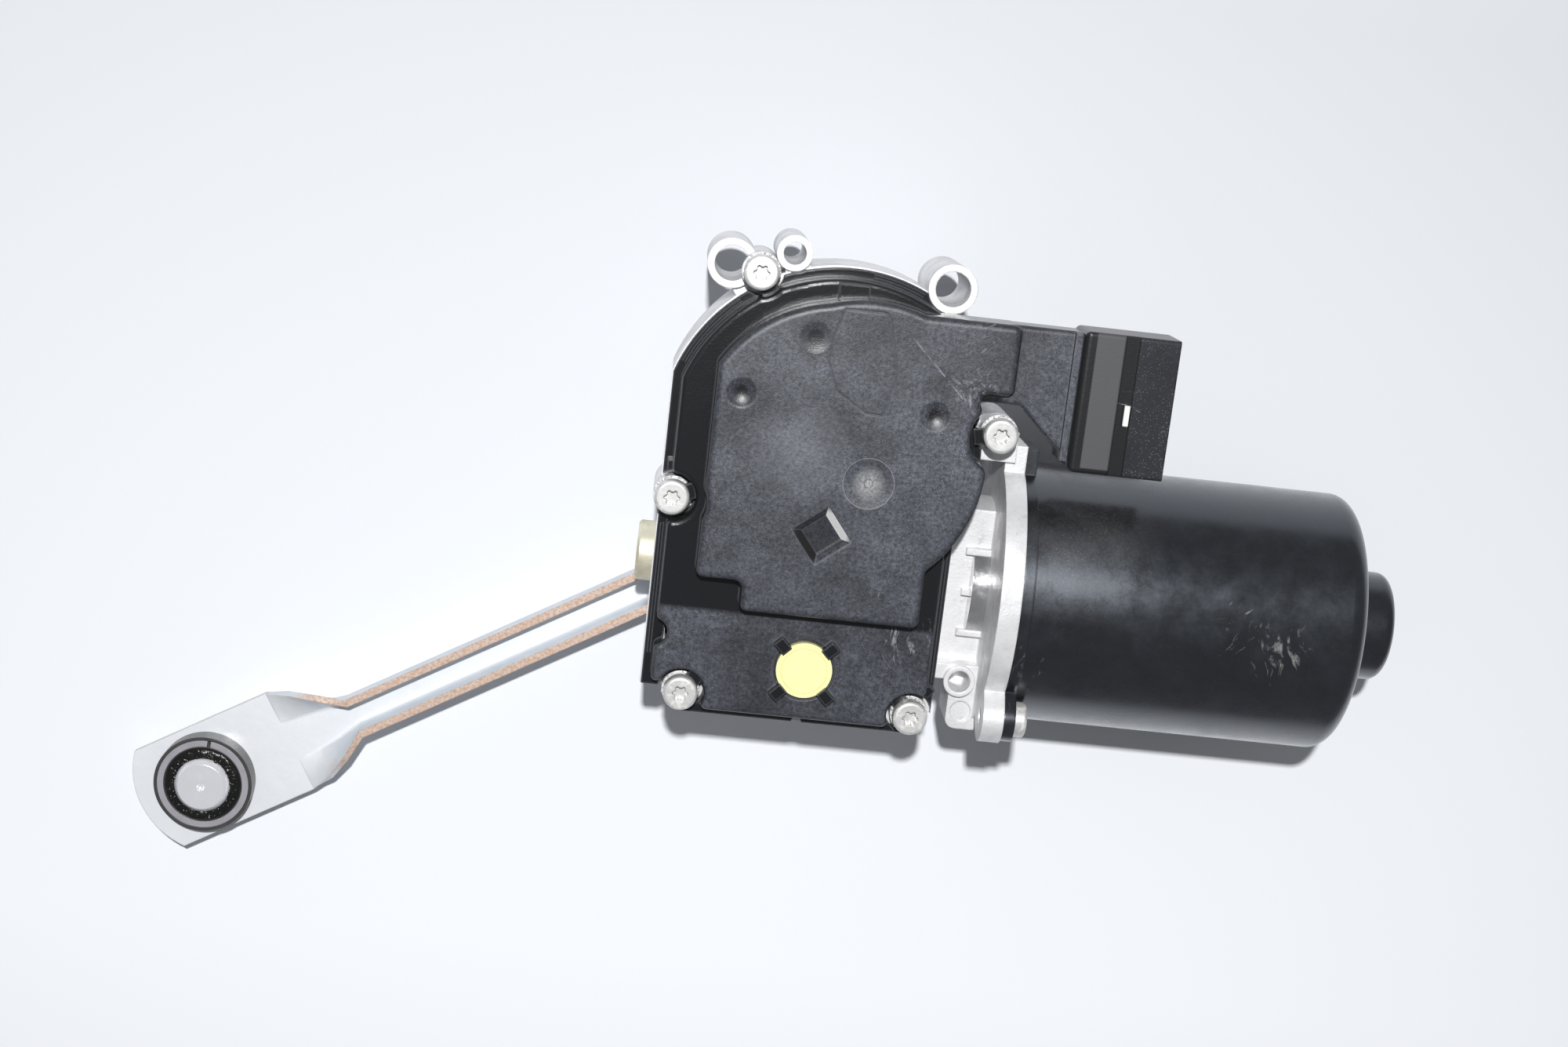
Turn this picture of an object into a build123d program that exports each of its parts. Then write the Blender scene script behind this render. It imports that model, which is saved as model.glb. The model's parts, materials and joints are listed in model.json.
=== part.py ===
"""Reversing wiper motor: permanent-magnet motor, worm gear, crank and open-ended link rod.

Frame: the origin lies on the output shaft's axis at its free end, +Z points from the crank
towards the cover, and +X runs along the armature towards the motor's closed end. The unit
lies on the plane z = 0 with its shaft end, its motor can and both ball sockets.
"""

import math
import os

from build123d import *

os.makedirs("parts", exist_ok=True)

# ---------------------------------------------------------------- worm drive
tooth_module = 1.0
wheel_teeth = 56
worm_pitch_r = 5.0
thread_half_turns = 6
flank_angle = 20.0
flank_play = 0.15
root_gap = 0.25
wheel_width = 9.0
wheel_web = 3.0
wheel_rim_wall = 3.6
wheel_hub_r = 11.0
wheel_ribs = 8
wheel_rib_t = 2.0
hub_insert_r = 7.5
hub_stand = 1.5

wheel_pitch_r = tooth_module * wheel_teeth / 2
worm_lead = math.pi * tooth_module
worm_tip_r = worm_pitch_r + tooth_module
worm_root_r = worm_pitch_r - tooth_module - root_gap
wheel_tip_r = wheel_pitch_r + tooth_module
wheel_root_r = wheel_pitch_r - tooth_module - root_gap
twist_per_mm = math.degrees(worm_lead / (2 * math.pi * worm_pitch_r) / wheel_pitch_r)

# ---------------------------------------------------------------- motor can
can_r = 31.5
can_wall = 1.8
can_start_x = 46.0
can_flange_t = 2.8
flange_setback = 0.6
can_end_x = 128.7
can_end_radius = 4.5
can_boss_r = 13.3
can_boss_end_x = 141.0
can_boss_radius = 2.5

motor_y = -(wheel_pitch_r + worm_pitch_r)
motor_z = can_r

# ---------------------------------------------------------------- levels from the armature's axis
out_boss_drop = 15.0
floor_drop = 5.5
floor_t = 2.5
well_drop = 4.0
shaft_rise = 8.0
neck_rise = 9.0
cavity_rise = 9.5
parting_rise = 14.5

out_boss_z = motor_z - out_boss_drop
floor_z = motor_z - floor_drop
floor_under_z = floor_z - floor_t
well_floor_z = motor_z - well_drop
shaft_top_z = motor_z + shaft_rise
neck_top_z = motor_z + neck_rise
cavity_step_z = motor_z + cavity_rise
parting_z = motor_z + parting_rise

# ---------------------------------------------------------------- levels from the parting plane
boss_rise = 1.0
rim_t = 2.5
arm_under_rise = 3.5
board_rise = 3.8
lug_rise = 4.5
low_deck_rise = 8.0
arm_top_rise = 12.5
deck_rise = 15.0

boss_top_z = parting_z + boss_rise
rim_top_z = parting_z + rim_t
arm_under_z = parting_z + arm_under_rise
board_z = parting_z + board_rise
lug_seat_z = parting_z + lug_rise
low_deck_z = parting_z + low_deck_rise
arm_top_z = parting_z + arm_top_rise
deck_z = parting_z + deck_rise

# ---------------------------------------------------------------- cover and housing plan
cover_wall = 2.0
dome_r = 41.5
dome_right_x = 24.0
shoulder_r = 34.4
block_left_x = -39.3
block_right_x = 30.4
block_bottom_y = -67.4
corner_r = 2.4
low_deck_step = 2.2
deck_dome_r = 34.6
deck_dome_x = 5.0
deck_dome_y = 1.0
deck_left_x = -29.4
deck_right_x = 23.4
deck_mid_y = -32.0
deck_bottom_y = -39.0
deck_jog_x = -18.6
deck_top_y = 33.6
deck_arm_x = 38.5
deck_edge_r = 1.6
deck_corner_r = 1.8
low_edge_r = 1.1
notch_r = 5.4
low_notch_r = 5.6
deck_notch_r = 8.0
dent_x = -37.6
dent_y = -47.6
dent_r = 3.2
dent_corner_r = 1.2
drain_x = -1.4
drain_r = 1.2
ridge_w = 1.6
ridge_h = 1.6
arm_cut_x = 24.0
tab_left_x = -3.7
tab_right_x = 3.2
tab_top_y = 38.4
tab_h = 7.0
clip_tab_w = 2.6
clip_tab_l = 2.2
clip_tab_h = 1.6
clip_tab_set = 0.3
clip_tab_angle = 75.0
board_post_xy = [(-20.0, 15.0), (-20.0, -22.0), (17.0, -31.0), (6.5, 27.0)]
deck_dishes = [
    (-23.5, 11.8, 3.5, 0.9),
    (20.9, 11.1, 3.5, 0.9),
    (7.7, -6.0, 6.0, 0.4),
    (-8.2, 26.0, 3.6, 0.3),
]
facet_x = -1.6
facet_y = -19.2
facet_turn = 38.0
facet_size = 10.0
facet_depth = 1.3
facet_slope = 52.0
panel_groove = 0.4
panel_outline = [
    (-2.1, 33.0),
    (7.2, 33.0),
    (8.3, 31.6),
    (11.0, 19.9),
    (9.0, 10.1),
    (5.2, 10.3),
    (-1.8, 14.6),
    (-4.4, 20.9),
    (-4.0, 26.5),
]

# ---------------------------------------------------------------- cover screws
screw_xy = [(-21.7, 38.6), (-36.6, -15.2), (-29.8, -61.6), (25.0, -62.1), (37.6, 7.2)]
screw_inward = [-60.0, 20.0, 50.0, 130.0, 190.0]
screw_r = 2.0
screw_head_r = 4.1
screw_head_t = 3.0
screw_length = 17.0
screw_boss_r = 4.5
screw_boss_drop = 21.0
lug_r = 3.8
lug_t = 1.5
screw_head_round = 0.8
seat_gap = 0.05
can_screw_head_r = 4.2
can_screw_length = 7.2
socket_lobe_r = 0.45
socket_pitch_r = 1.45
socket_depth = 1.7

# ---------------------------------------------------------------- mounting bosses of the casting
boss_depth = 26.0
through_xy = [(-28.4, 39.5), (23.1, 39.1)]
through_boss_r = 5.8
through_r = 4.1
top_thread_xy = (-14.3, 43.3)
top_thread_boss_r = 4.2
side_thread_xy = (36.6, -53.9)
side_thread_boss_r = 3.8
thread_r = 2.65
side_thread_depth = 9.0
boss_chamfer = 0.6
web_t = 6.0
web_middle = 0.9
web_span = 0.2
side_boss_h = 15.6
side_block_x = 34.6
side_block_y = -66.0
side_block_drop = 1.6
side_block_r = 2.4
ejector_r = 2.5
ejector_sink = 0.3
ejector_xy = (38.0, -61.6)

# ---------------------------------------------------------------- casting walls
housing_land = 0.3
rim_wall = 4.4
gasket_in = 2.0
gasket_w = 1.6
gasket_t = 1.2
wheel_gap = 1.8
tunnel_gap = 0.6
well_top_y = -44.0
well_margin = 4.0
neck_start_x = 29.5
neck_r = 22.0
neck_drop = 17.5
flange_x = 41.0
flange_lip = 1.5
flange_recess = 2.5
flange_recess_in = 5.5
ear_out = 4.6
ear_angle = 43.5
ear_r = 6.0
joint_tab_y = 4.0
joint_tab_drop = 1.5
joint_tab_rise = 12.5
rib_t = 1.6
rib_pitch = 10.0
rib_count = 3
out_boss_r = 9.5
gussets = 6
gusset_t = 2.4
gusset_reach = 6.0
gusset_lift = 1.5

# ---------------------------------------------------------------- output shaft and crank
shaft_r = 5.0
stud_r = 4.0
pilot_r = 3.4
pilot_l = 2.9
bush_wall = 2.0
run_gap = 0.05
seal_t = 1.5
ring_t = 0.8
ring_gap = 0.08
ring_groove = 0.5
ring_mouth = 3.5
crank_t = 5.0
crank_r = 37.5
crank_angle = -117.0
crank_hub_r = 11.0
crank_eye_r = 12.5
crank_rise = 7.5
crank_gap = 1.0
joggle_start = 14.0
joggle_run = 9.0
nut_across = 13.0
nut_t = 6.5
nut_flange = 2.0
nut_flange_t = 1.4
rivet_spread = 1.2
rivet_t = 0.5
magnet_r = 4.6
magnet_t = 3.0

# ---------------------------------------------------------------- ball joints and link rod
ball_r = 8.0
ball_drop = 7.5
neck_ball_r = 4.0
liner_wall = 1.0
liner_gap = 0.08
liner_rise = 2.9
cup_wall = 1.4
cup_depth = 10.0
cup_foot = 2.6
cup_flange_r = 12.4
cup_rise = 3.2
cup_ring_in = 9.9
cup_ring_out = 11.6
cup_ring_t = 1.0
cup_ring_split = 0.9
cup_ring_turn = 85.0
cup_lip_r = 9.7
cup_lip_t = 0.9
cup_lip_grip = 0.45
ball_flat_r = 5.9
ball_dimple_r = 1.2
shank_mouth = 6.6
boot_gap = 0.4
boot_wall = 0.9
seal_low_r = 8.4
seal_top_r = 6.6
rod_length = 151.1
rod_angle = -149.7
rod_t = 2.0
rod_drop = 4.0
rod_half = 5.4
rod_fold = 8.6
bend_r = 1.6
pad_front = 23.7
pad_corner = 13.6
pad_nose = 18.6
fold_run = 19.0
crank_pad_front = 13.0
crank_fold_run = 12.0
fold_steps = 3
first_fold = 4.0

# ---------------------------------------------------------------- motor inside
core_start_x = 72.0
core_length = 36.0
core_slots = 12
slot_w = 3.4
slot_depth = 10.0
slot_mouth = 1.6
slot_lip = 1.5
armature_gap = 0.9
magnet_start_x = 69.0
magnet_length = 42.0
magnet_wall = 4.9
magnet_arc = 132.0
magnet_clip_t = 1.2
winding_overhang = 7.5
winding_in_r = 12.2
spindle_r = 5.0
commutator_r = 9.0
commutator_x = 51.0
commutator_length = 13.0
commutator_slit = 0.6
riser_r = 11.5
riser_t = 2.5
brush_w = 6.0
brush_t = 7.0
brush_length = 9.0
box_wall = 1.2
brush_gap = 0.15
spring_length = 8.5
spring_r = 1.9
spring_wire = 0.35
spring_turns = 4
rear_journal_r = 4.0
rear_bush_x = 130.5
rear_bush_length = 8.0
worm_journal_r = 3.0
worm_bush_r = 5.5
worm_bush_length = 10.0
plug_r = 7.3
plug_x = -43.6
plug_length = 6.4
worm_bush_x = plug_x + plug_length
thrust_ball_r = 1.5
bearing_r = 14.0
bearing_x = 37.0
bearing_w = 8.0
bearing_bore_r = 6.0
ring_wall = 2.4
shield_gap = 0.3
shield_t = 0.5
shaft_step_gap = 1.0
ball_count = 8

# ---------------------------------------------------------------- electronics
board_t = 1.6
board_margin = 1.4
post_r = 1.6
connector_x = 52.3
connector_end_x = 74.4
connector_low_y = 1.9
connector_high_y = 34.3
connector_low_rise = 1.0
connector_high_rise = 16.5
connector_wall = 2.0
connector_floor = 5.0
pin_count = 5
pin_w = 1.2
pin_pitch = 3.0
pin_low_rise = 6.3
pin_high_rise = 8.5
pin_root_x = 14.0
pin_row_step = 3.0
pin_setback = 6.0
spigot_gap = 0.1
spigot_l = 3.5
spigot_low_y = 10.5
connector_round = 1.5
connector_edge = 0.8
band_start_x = 61.7
band_end_x = 65.0
band_t = 0.4
latch_x = 64.0
latch_y = 16.1
latch_w = 4.8
latch_t = 1.3
chip_boxes = [
    (-6.0, 10.0, 9.0, 9.0, 1.1),
    (-16.0, -6.0, 7.0, 6.0, 1.6),
    (-4.0, -22.0, 6.6, 9.0, 2.4),
    (6.0, -22.0, 6.6, 9.0, 2.4),
    (12.0, -4.0, 12.0, 10.0, 5.0),
]
capacitor_xy = [(-20.0, 4.0), (-10.0, 24.0)]
capacitor_r = 3.2
capacitor_h = 5.6
hall_size = 3.0
hall_t = 1.0
choke_r = 4.2
choke_length = 14.0
choke_core_r = 1.6
choke_pitch = 24.0
vent_x = -1.4
vent_y = -53.0
vent_r = 6.65
vent_t = 0.9
vent_stem_r = 3.0
vent_margin = 0.8
vent_sink = 0.8
vent_clip_reach = 8.0
vent_clip_w = 2.6
vent_clip_l = 3.4
vent_clip_h = 2.2

motor_axis = Plane(origin=(0, motor_y, motor_z), x_dir=(0, 1, 0), z_dir=(1, 0, 0))
flange_r = can_r + flange_lip
flange_recess_r = can_r - flange_recess_in
ear_reach = can_r + ear_out
crank_hub_z = floor_under_z - crank_gap - crank_t - crank_rise
crank_eye_x = crank_r * math.cos(math.radians(crank_angle))
crank_eye_y = crank_r * math.sin(math.radians(crank_angle))
ear_rise = ear_reach * math.sin(math.radians(ear_angle))
ear_side = ear_reach * math.cos(math.radians(ear_angle))
ear_places = [(-ear_side, ear_rise), (ear_side, -ear_rise)]
left_foot_x, left_foot_y = screw_xy[2]
right_foot_x, right_foot_y = screw_xy[3]


# ---------------------------------------------------------------- shared outlines
def span(low_x, high_x, low_y, high_y, mode=Mode.ADD, radius=0.0):
    """A rectangle given by its four sides, with rounded corners where a radius is given."""
    with Locations(((low_x + high_x) / 2, (low_y + high_y) / 2)):
        if radius > 0:
            RectangleRounded(high_x - low_x, high_y - low_y, radius, mode=mode)
        else:
            Rectangle(high_x - low_x, high_y - low_y, mode=mode)


def rim_outline(grow, relief_r=notch_r):
    """Plan of the joint between casting and cover, grown outwards, relieved round each screw."""
    with BuildSketch() as outline:
        Circle(dome_r + grow)
        span(block_left_x - grow, dome_right_x + grow, deck_mid_y, dome_r + grow, Mode.INTERSECT)
        Circle(shoulder_r + grow)
        span(block_left_x - grow, block_right_x + grow, block_bottom_y - grow, 0)
        with Locations(screw_xy):
            Circle(relief_r - grow, mode=Mode.SUBTRACT)
        far = 2 * dome_r
        span(-far, left_foot_x - grow, -far, left_foot_y - grow, Mode.SUBTRACT)
        span(right_foot_x + grow, far, -far, right_foot_y - grow, Mode.SUBTRACT)
    return outline.sketch


def deck_outline(grow):
    """Plan of the raised deck above the circuit board, grown outwards by one amount."""
    with BuildSketch() as outline:
        with Locations((deck_dome_x, deck_dome_y)):
            Circle(deck_dome_r + grow)
        span(deck_left_x - grow, dome_right_x, 0, 2 * dome_r, Mode.INTERSECT)
        Circle(shoulder_r + grow)
        span(deck_left_x - grow, deck_right_x + grow, deck_mid_y - grow, 0)
        span(deck_jog_x - grow, deck_right_x + grow, deck_bottom_y - grow, 0)
        span(0, deck_arm_x + grow, shoulder_r / 2 - grow, deck_top_y + grow)
        span(deck_left_x - grow, deck_arm_x + grow, deck_bottom_y - grow, dome_r, Mode.INTERSECT)
        with Locations(screw_xy):
            Circle(deck_notch_r - grow, mode=Mode.SUBTRACT)
    return outline.sketch


def softened(plan, radius):
    """The same plan with every corner rounded."""
    with BuildSketch() as outline:
        add(plan)
        fillet(outline.vertices(), radius)
    return outline.sketch


def arm_outline(grow):
    """Plan of the arm that carries the connector, cut off slantwise at the can's side."""
    with BuildSketch() as outline:
        with BuildLine():
            Polyline(
                (0, deck_top_y + grow),
                (connector_x, deck_top_y + grow),
                (connector_x, connector_low_y + cover_wall - grow),
                (deck_arm_x + cover_wall, shoulder_r / 2 - cover_wall - grow),
                (0, shoulder_r / 2 - cover_wall - grow),
                close=True,
            )
        make_face()
    return outline.sketch


def flange_outline(inset):
    """Outline of the joint between casting and can: a round with two ears and an upper tab."""
    with BuildSketch() as outline:
        Circle(flange_r - inset)
        SlotCenterToCenter(2 * ear_reach, 2 * (ear_r - inset), rotation=-ear_angle)
        span(0, joint_tab_y - motor_y - inset, -joint_tab_drop, joint_tab_rise - inset)
        span(-2 * can_r, 2 * can_r, inset - motor_z, 2 * can_r, Mode.INTERSECT)
    return outline.sketch


def at_motor(x):
    """The plane square to the armature at one station along it."""
    return motor_axis.offset(x)


def toward(angle, distance):
    """A point in plan at one distance and direction from the origin."""
    return (distance * math.cos(math.radians(angle)), distance * math.sin(math.radians(angle)))


# ---------------------------------------------------------------- casting
with BuildPart() as gear_housing:
    with BuildSketch(Plane.XY.offset(floor_under_z)):
        add(rim_outline(housing_land, screw_boss_r))
    extrude(amount=parting_z - floor_under_z)

    with BuildSketch(at_motor(neck_start_x)):
        Circle(neck_r)
        span(-neck_r, neck_r, -neck_drop, neck_rise, Mode.INTERSECT)
    extrude(amount=flange_x - neck_start_x)
    with BuildSketch(at_motor(flange_x)):
        add(flange_outline(0))
    extrude(amount=can_start_x - flange_x)

    with BuildSketch(Plane.XY.offset(lug_seat_z)):
        with Locations(screw_xy):
            Circle(screw_boss_r)
    extrude(amount=-screw_boss_drop)
    with BuildSketch(Plane.XY.offset(boss_top_z)):
        with Locations(through_xy):
            Circle(through_boss_r)
        with Locations(top_thread_xy):
            Circle(top_thread_boss_r)
    extrude(amount=-boss_depth)
    with BuildSketch(Plane.XY.offset(floor_under_z)):
        for place_x, place_y in through_xy + [top_thread_xy, screw_xy[0], screw_xy[1]]:
            with Locations((place_x * web_middle, place_y * web_middle)):
                facing = math.degrees(math.atan2(place_y, place_x))
                Rectangle(math.hypot(place_x, place_y) * web_span, web_t, rotation=facing)
        span(shoulder_r - web_t, can_start_x - can_flange_t, 0, screw_xy[4][1])
    extrude(amount=parting_z - floor_under_z - boss_chamfer)
    with BuildSketch(Plane.XY.offset(boss_top_z)):
        with Locations(side_thread_xy):
            Circle(side_thread_boss_r)
    extrude(amount=-side_boss_h)
    with BuildSketch(Plane.XY.offset(boss_top_z - side_block_drop)):
        side_x, side_y = side_thread_xy
        span(side_block_x, flange_x + side_block_r, side_block_y, side_y, radius=side_block_r)
        span(block_right_x, flange_x, side_y, side_y + side_thread_boss_r)
    extrude(amount=side_block_drop - side_boss_h)
    with BuildSketch(Plane.XY.offset(boss_top_z - side_block_drop)):
        with Locations(ejector_xy):
            Circle(ejector_r)
    extrude(amount=-ejector_sink, mode=Mode.SUBTRACT)

    with BuildSketch(Plane.XY.offset(neck_top_z - rib_t)):
        with Locations((flange_x - ear_r / 2, motor_y)):
            with GridLocations(0, rib_pitch, 1, rib_count):
                Rectangle(ear_r, rib_t)
    extrude(amount=2 * rib_t)

    with BuildSketch(Plane.XY.offset(out_boss_z)):
        Circle(out_boss_r)
    extrude(amount=floor_under_z - out_boss_z)
    with BuildSketch(Plane.XZ):
        with BuildLine():
            Polyline(
                (out_boss_r - gusset_t, out_boss_z + gusset_lift),
                (out_boss_r, out_boss_z + gusset_lift),
                (out_boss_r + gusset_reach, floor_under_z),
                (out_boss_r - gusset_t, floor_under_z),
                close=True,
            )
        make_face()
    gusset = extrude(amount=gusset_t / 2, both=True, mode=Mode.PRIVATE)
    with PolarLocations(0, gussets):
        add(gusset)

    with BuildSketch(Plane.XY.offset(floor_z)):
        Circle(wheel_tip_r + wheel_gap)
    extrude(amount=cavity_step_z - floor_z, mode=Mode.SUBTRACT)
    with BuildSketch(Plane.XY.offset(cavity_step_z)):
        add(softened(rim_outline(-rim_wall), corner_r))
    extrude(amount=parting_z - cavity_step_z, mode=Mode.SUBTRACT)
    with BuildSketch(Plane.XY.offset(well_floor_z)):
        span(
            block_left_x + well_margin,
            block_right_x - well_margin,
            block_bottom_y + well_margin,
            well_top_y,
            radius=corner_r,
        )
        with Locations(screw_xy):
            Circle(screw_boss_r + cover_wall, mode=Mode.SUBTRACT)
    extrude(amount=cavity_step_z - well_floor_z, mode=Mode.SUBTRACT)
    with BuildSketch(Plane.XY.offset(parting_z)):
        add(rim_outline(-gasket_in))
        add(rim_outline(-gasket_in - gasket_w), mode=Mode.SUBTRACT)
    extrude(amount=-gasket_t, mode=Mode.SUBTRACT)

    with BuildSketch(at_motor(worm_bush_x + worm_bush_length)):
        Circle(worm_tip_r + tunnel_gap)
    extrude(amount=bearing_x - worm_bush_x - worm_bush_length, mode=Mode.SUBTRACT)
    with BuildSketch(at_motor(worm_bush_x)):
        Circle(worm_bush_r)
    extrude(amount=worm_bush_length, mode=Mode.SUBTRACT)
    with BuildSketch(at_motor(plug_x)):
        Circle(plug_r)
    extrude(amount=plug_length, mode=Mode.SUBTRACT)
    with BuildSketch(at_motor(bearing_x)):
        Circle(bearing_r)
    extrude(amount=can_start_x - bearing_x, mode=Mode.SUBTRACT)
    with BuildSketch(at_motor(can_start_x)):
        Circle(flange_recess_r)
    extrude(amount=-flange_recess, mode=Mode.SUBTRACT)

    with Locations((0, 0, out_boss_z)):
        Hole(shaft_r + bush_wall, depth=2 * (floor_z - out_boss_z))
    with BuildSketch(Plane.XY.offset(boss_top_z)):
        with Locations(through_xy):
            Circle(through_r)
        with Locations(top_thread_xy):
            Circle(thread_r)
    extrude(amount=-boss_depth, mode=Mode.SUBTRACT)
    with BuildSketch(Plane.XY.offset(boss_top_z)):
        with Locations(side_thread_xy):
            Circle(thread_r)
    extrude(amount=-side_thread_depth, mode=Mode.SUBTRACT)
    with Locations(*[(x, y, lug_seat_z) for x, y in screw_xy]):
        Hole(screw_r, depth=screw_length)
    with BuildSketch(at_motor(can_start_x)):
        with Locations(ear_places):
            Circle(screw_r)
    extrude(amount=flange_x - can_start_x, mode=Mode.SUBTRACT)
gear_housing.part.label = "gear_housing"
export_step(gear_housing.part, "parts/gear_housing.step")

with BuildPart() as cover_gasket:
    with BuildSketch(Plane.XY.offset(parting_z)):
        add(rim_outline(-gasket_in))
        add(rim_outline(-gasket_in - gasket_w), mode=Mode.SUBTRACT)
    extrude(amount=-gasket_t)
cover_gasket.part.label = "cover_gasket"
export_step(cover_gasket.part, "parts/cover_gasket.step")

# ---------------------------------------------------------------- moulded cover
with BuildPart() as deck_block:
    with BuildSketch(Plane.XY.offset(rim_top_z)):
        add(softened(deck_outline(0), deck_corner_r))
    extrude(amount=deck_z - rim_top_z)
    fillet(deck_block.faces().sort_by(Axis.Z)[-1].edges(), deck_edge_r)

with BuildPart() as arm_block:
    with BuildSketch(Plane.XY.offset(arm_under_z)):
        add(arm_outline(0))
    extrude(amount=arm_top_z - arm_under_z)
    fillet(arm_block.faces().sort_by(Axis.Z)[-1].edges(), low_edge_r)

low_relief_r = low_notch_r - low_deck_step
with BuildSketch() as low_deck_plan:
    add(rim_outline(-low_deck_step, low_relief_r))
    with Locations((dent_x, dent_y)):
        Circle(dent_r, mode=Mode.SUBTRACT)

with BuildPart() as gear_cover:
    with BuildSketch(Plane.XY.offset(rim_top_z)):
        add(softened(low_deck_plan.sketch, dent_corner_r))
    extrude(amount=low_deck_z - rim_top_z)
    fillet(gear_cover.faces().sort_by(Axis.Z)[-1].edges(), low_edge_r)
    add(deck_block.part)
    add(arm_block.part)
    with BuildSketch(Plane.XY.offset(parting_z)):
        add(rim_outline(0))
        with Locations((drain_x, block_bottom_y)):
            Circle(drain_r, mode=Mode.SUBTRACT)
        with Locations(through_xy):
            Circle(through_boss_r + spigot_gap, mode=Mode.SUBTRACT)
        with Locations(top_thread_xy):
            Circle(top_thread_boss_r + spigot_gap, mode=Mode.SUBTRACT)
    extrude(amount=rim_t)
    with BuildSketch(Plane.XY.offset(arm_under_z)):
        span(connector_x - ridge_w, connector_x, connector_low_y + cover_wall, deck_top_y)
    extrude(amount=arm_top_z + ridge_h - arm_under_z)
    with BuildSketch(Plane.XY.offset(rim_top_z)):
        span(tab_left_x, tab_right_x, deck_top_y, tab_top_y)
    extrude(amount=tab_h)

    with BuildSketch(Plane.XY.offset(parting_z)):
        add(softened(rim_outline(-low_deck_step - cover_wall, low_relief_r), corner_r))
    extrude(amount=low_deck_z - cover_wall - parting_z, mode=Mode.SUBTRACT)
    with BuildSketch(Plane.XY.offset(low_deck_z - cover_wall)):
        add(softened(deck_outline(-cover_wall), deck_corner_r))
    extrude(amount=deck_z - low_deck_z, mode=Mode.SUBTRACT)
    with BuildSketch(Plane.XY.offset(arm_under_z + cover_wall)):
        add(arm_outline(-cover_wall))
        span(arm_cut_x, connector_x, connector_low_y, deck_top_y, Mode.INTERSECT)
    extrude(amount=arm_top_z - arm_under_z - 2 * cover_wall, mode=Mode.SUBTRACT)

    for (place_x, place_y), inward in zip(screw_xy, screw_inward):
        lug_plane = Plane((place_x, place_y, lug_seat_z)).rotated((0, 0, inward))
        with BuildSketch(lug_plane):
            Circle(lug_r)
            span(0, deck_notch_r + cover_wall / 2, -lug_r / 2, lug_r / 2)
            Circle(screw_r, mode=Mode.SUBTRACT)
        extrude(amount=lug_t)
    for (place_x, place_y), inward in list(zip(screw_xy, screw_inward))[1:-1]:
        with BuildSketch(Plane((place_x, place_y, rim_top_z)).rotated((0, 0, inward))):
            with PolarLocations(notch_r + clip_tab_w / 2 + clip_tab_set, 2,
                                start_angle=-clip_tab_angle,
                                angular_range=2 * clip_tab_angle, endpoint=True):
                Rectangle(clip_tab_w, clip_tab_l)
        extrude(amount=clip_tab_h)
    with BuildSketch(Plane.XY.offset(board_z + board_t)):
        with Locations(board_post_xy):
            Circle(post_r)
    extrude(amount=deck_z - cover_wall / 2 - board_z - board_t)

    with BuildSketch(Plane.XY.offset(low_deck_z)):
        with Locations((vent_x, vent_y)):
            Circle(vent_r + vent_margin)
    extrude(amount=-vent_sink, mode=Mode.SUBTRACT)
    with Locations((vent_x, vent_y, low_deck_z)):
        Hole(vent_stem_r, depth=2 * cover_wall)
    with BuildSketch(Plane.XY.offset(low_deck_z - vent_sink)):
        with Locations((vent_x, vent_y)):
            with PolarLocations(vent_clip_reach, 4, start_angle=45):
                Rectangle(vent_clip_l, vent_clip_w)
    extrude(amount=vent_sink + vent_clip_h)
    with BuildSketch(Plane.XY.offset(low_deck_z - vent_sink)):
        with Locations((vent_x, vent_y)):
            Circle(vent_r)
            Circle(vent_stem_r, mode=Mode.SUBTRACT)
    extrude(amount=vent_sink + vent_t, mode=Mode.SUBTRACT)

    for place_x, place_y, dish_r, dish_depth in deck_dishes:
        dish_ball_r = (dish_r**2 + dish_depth**2) / (2 * dish_depth)
        with Locations((place_x, place_y, deck_z - dish_depth + dish_ball_r)):
            Sphere(dish_ball_r, mode=Mode.SUBTRACT)
    with BuildSketch(Plane((facet_x, facet_y, deck_z)).rotated((0, 0, facet_turn))):
        Rectangle(facet_size, facet_size)
    extrude(amount=-facet_depth, taper=facet_slope, mode=Mode.SUBTRACT)
    with BuildSketch(Plane.XY.offset(deck_z)):
        with BuildLine():
            Polyline(*panel_outline, close=True)
        panel = make_face()
        offset(amount=panel_groove, mode=Mode.ADD)
        with BuildLine():
            Polyline(*panel_outline, close=True)
        make_face(mode=Mode.SUBTRACT)
    extrude(amount=-panel_groove, mode=Mode.SUBTRACT)
gear_cover.part.label = "gear_cover"
export_step(gear_cover.part, "parts/gear_cover.step")

with BuildPart() as vent_cap:
    with BuildSketch(Plane.XY.offset(low_deck_z - vent_sink)):
        with Locations((vent_x, vent_y)):
            Circle(vent_r)
    extrude(amount=vent_sink + vent_t)
    with BuildSketch(Plane.XY.offset(low_deck_z - vent_sink)):
        with Locations((vent_x, vent_y)):
            Circle(vent_stem_r)
    extrude(amount=-cover_wall)
vent_cap.part.label = "vent_cap"
export_step(vent_cap.part, "parts/vent_cap.step")


# ---------------------------------------------------------------- screws
def star_recess():
    """The six-lobed driver recess of the screws."""
    with BuildSketch() as recess:
        Circle(socket_pitch_r)
        with PolarLocations(socket_pitch_r, 6):
            Circle(socket_lobe_r)
    return recess.sketch


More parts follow.
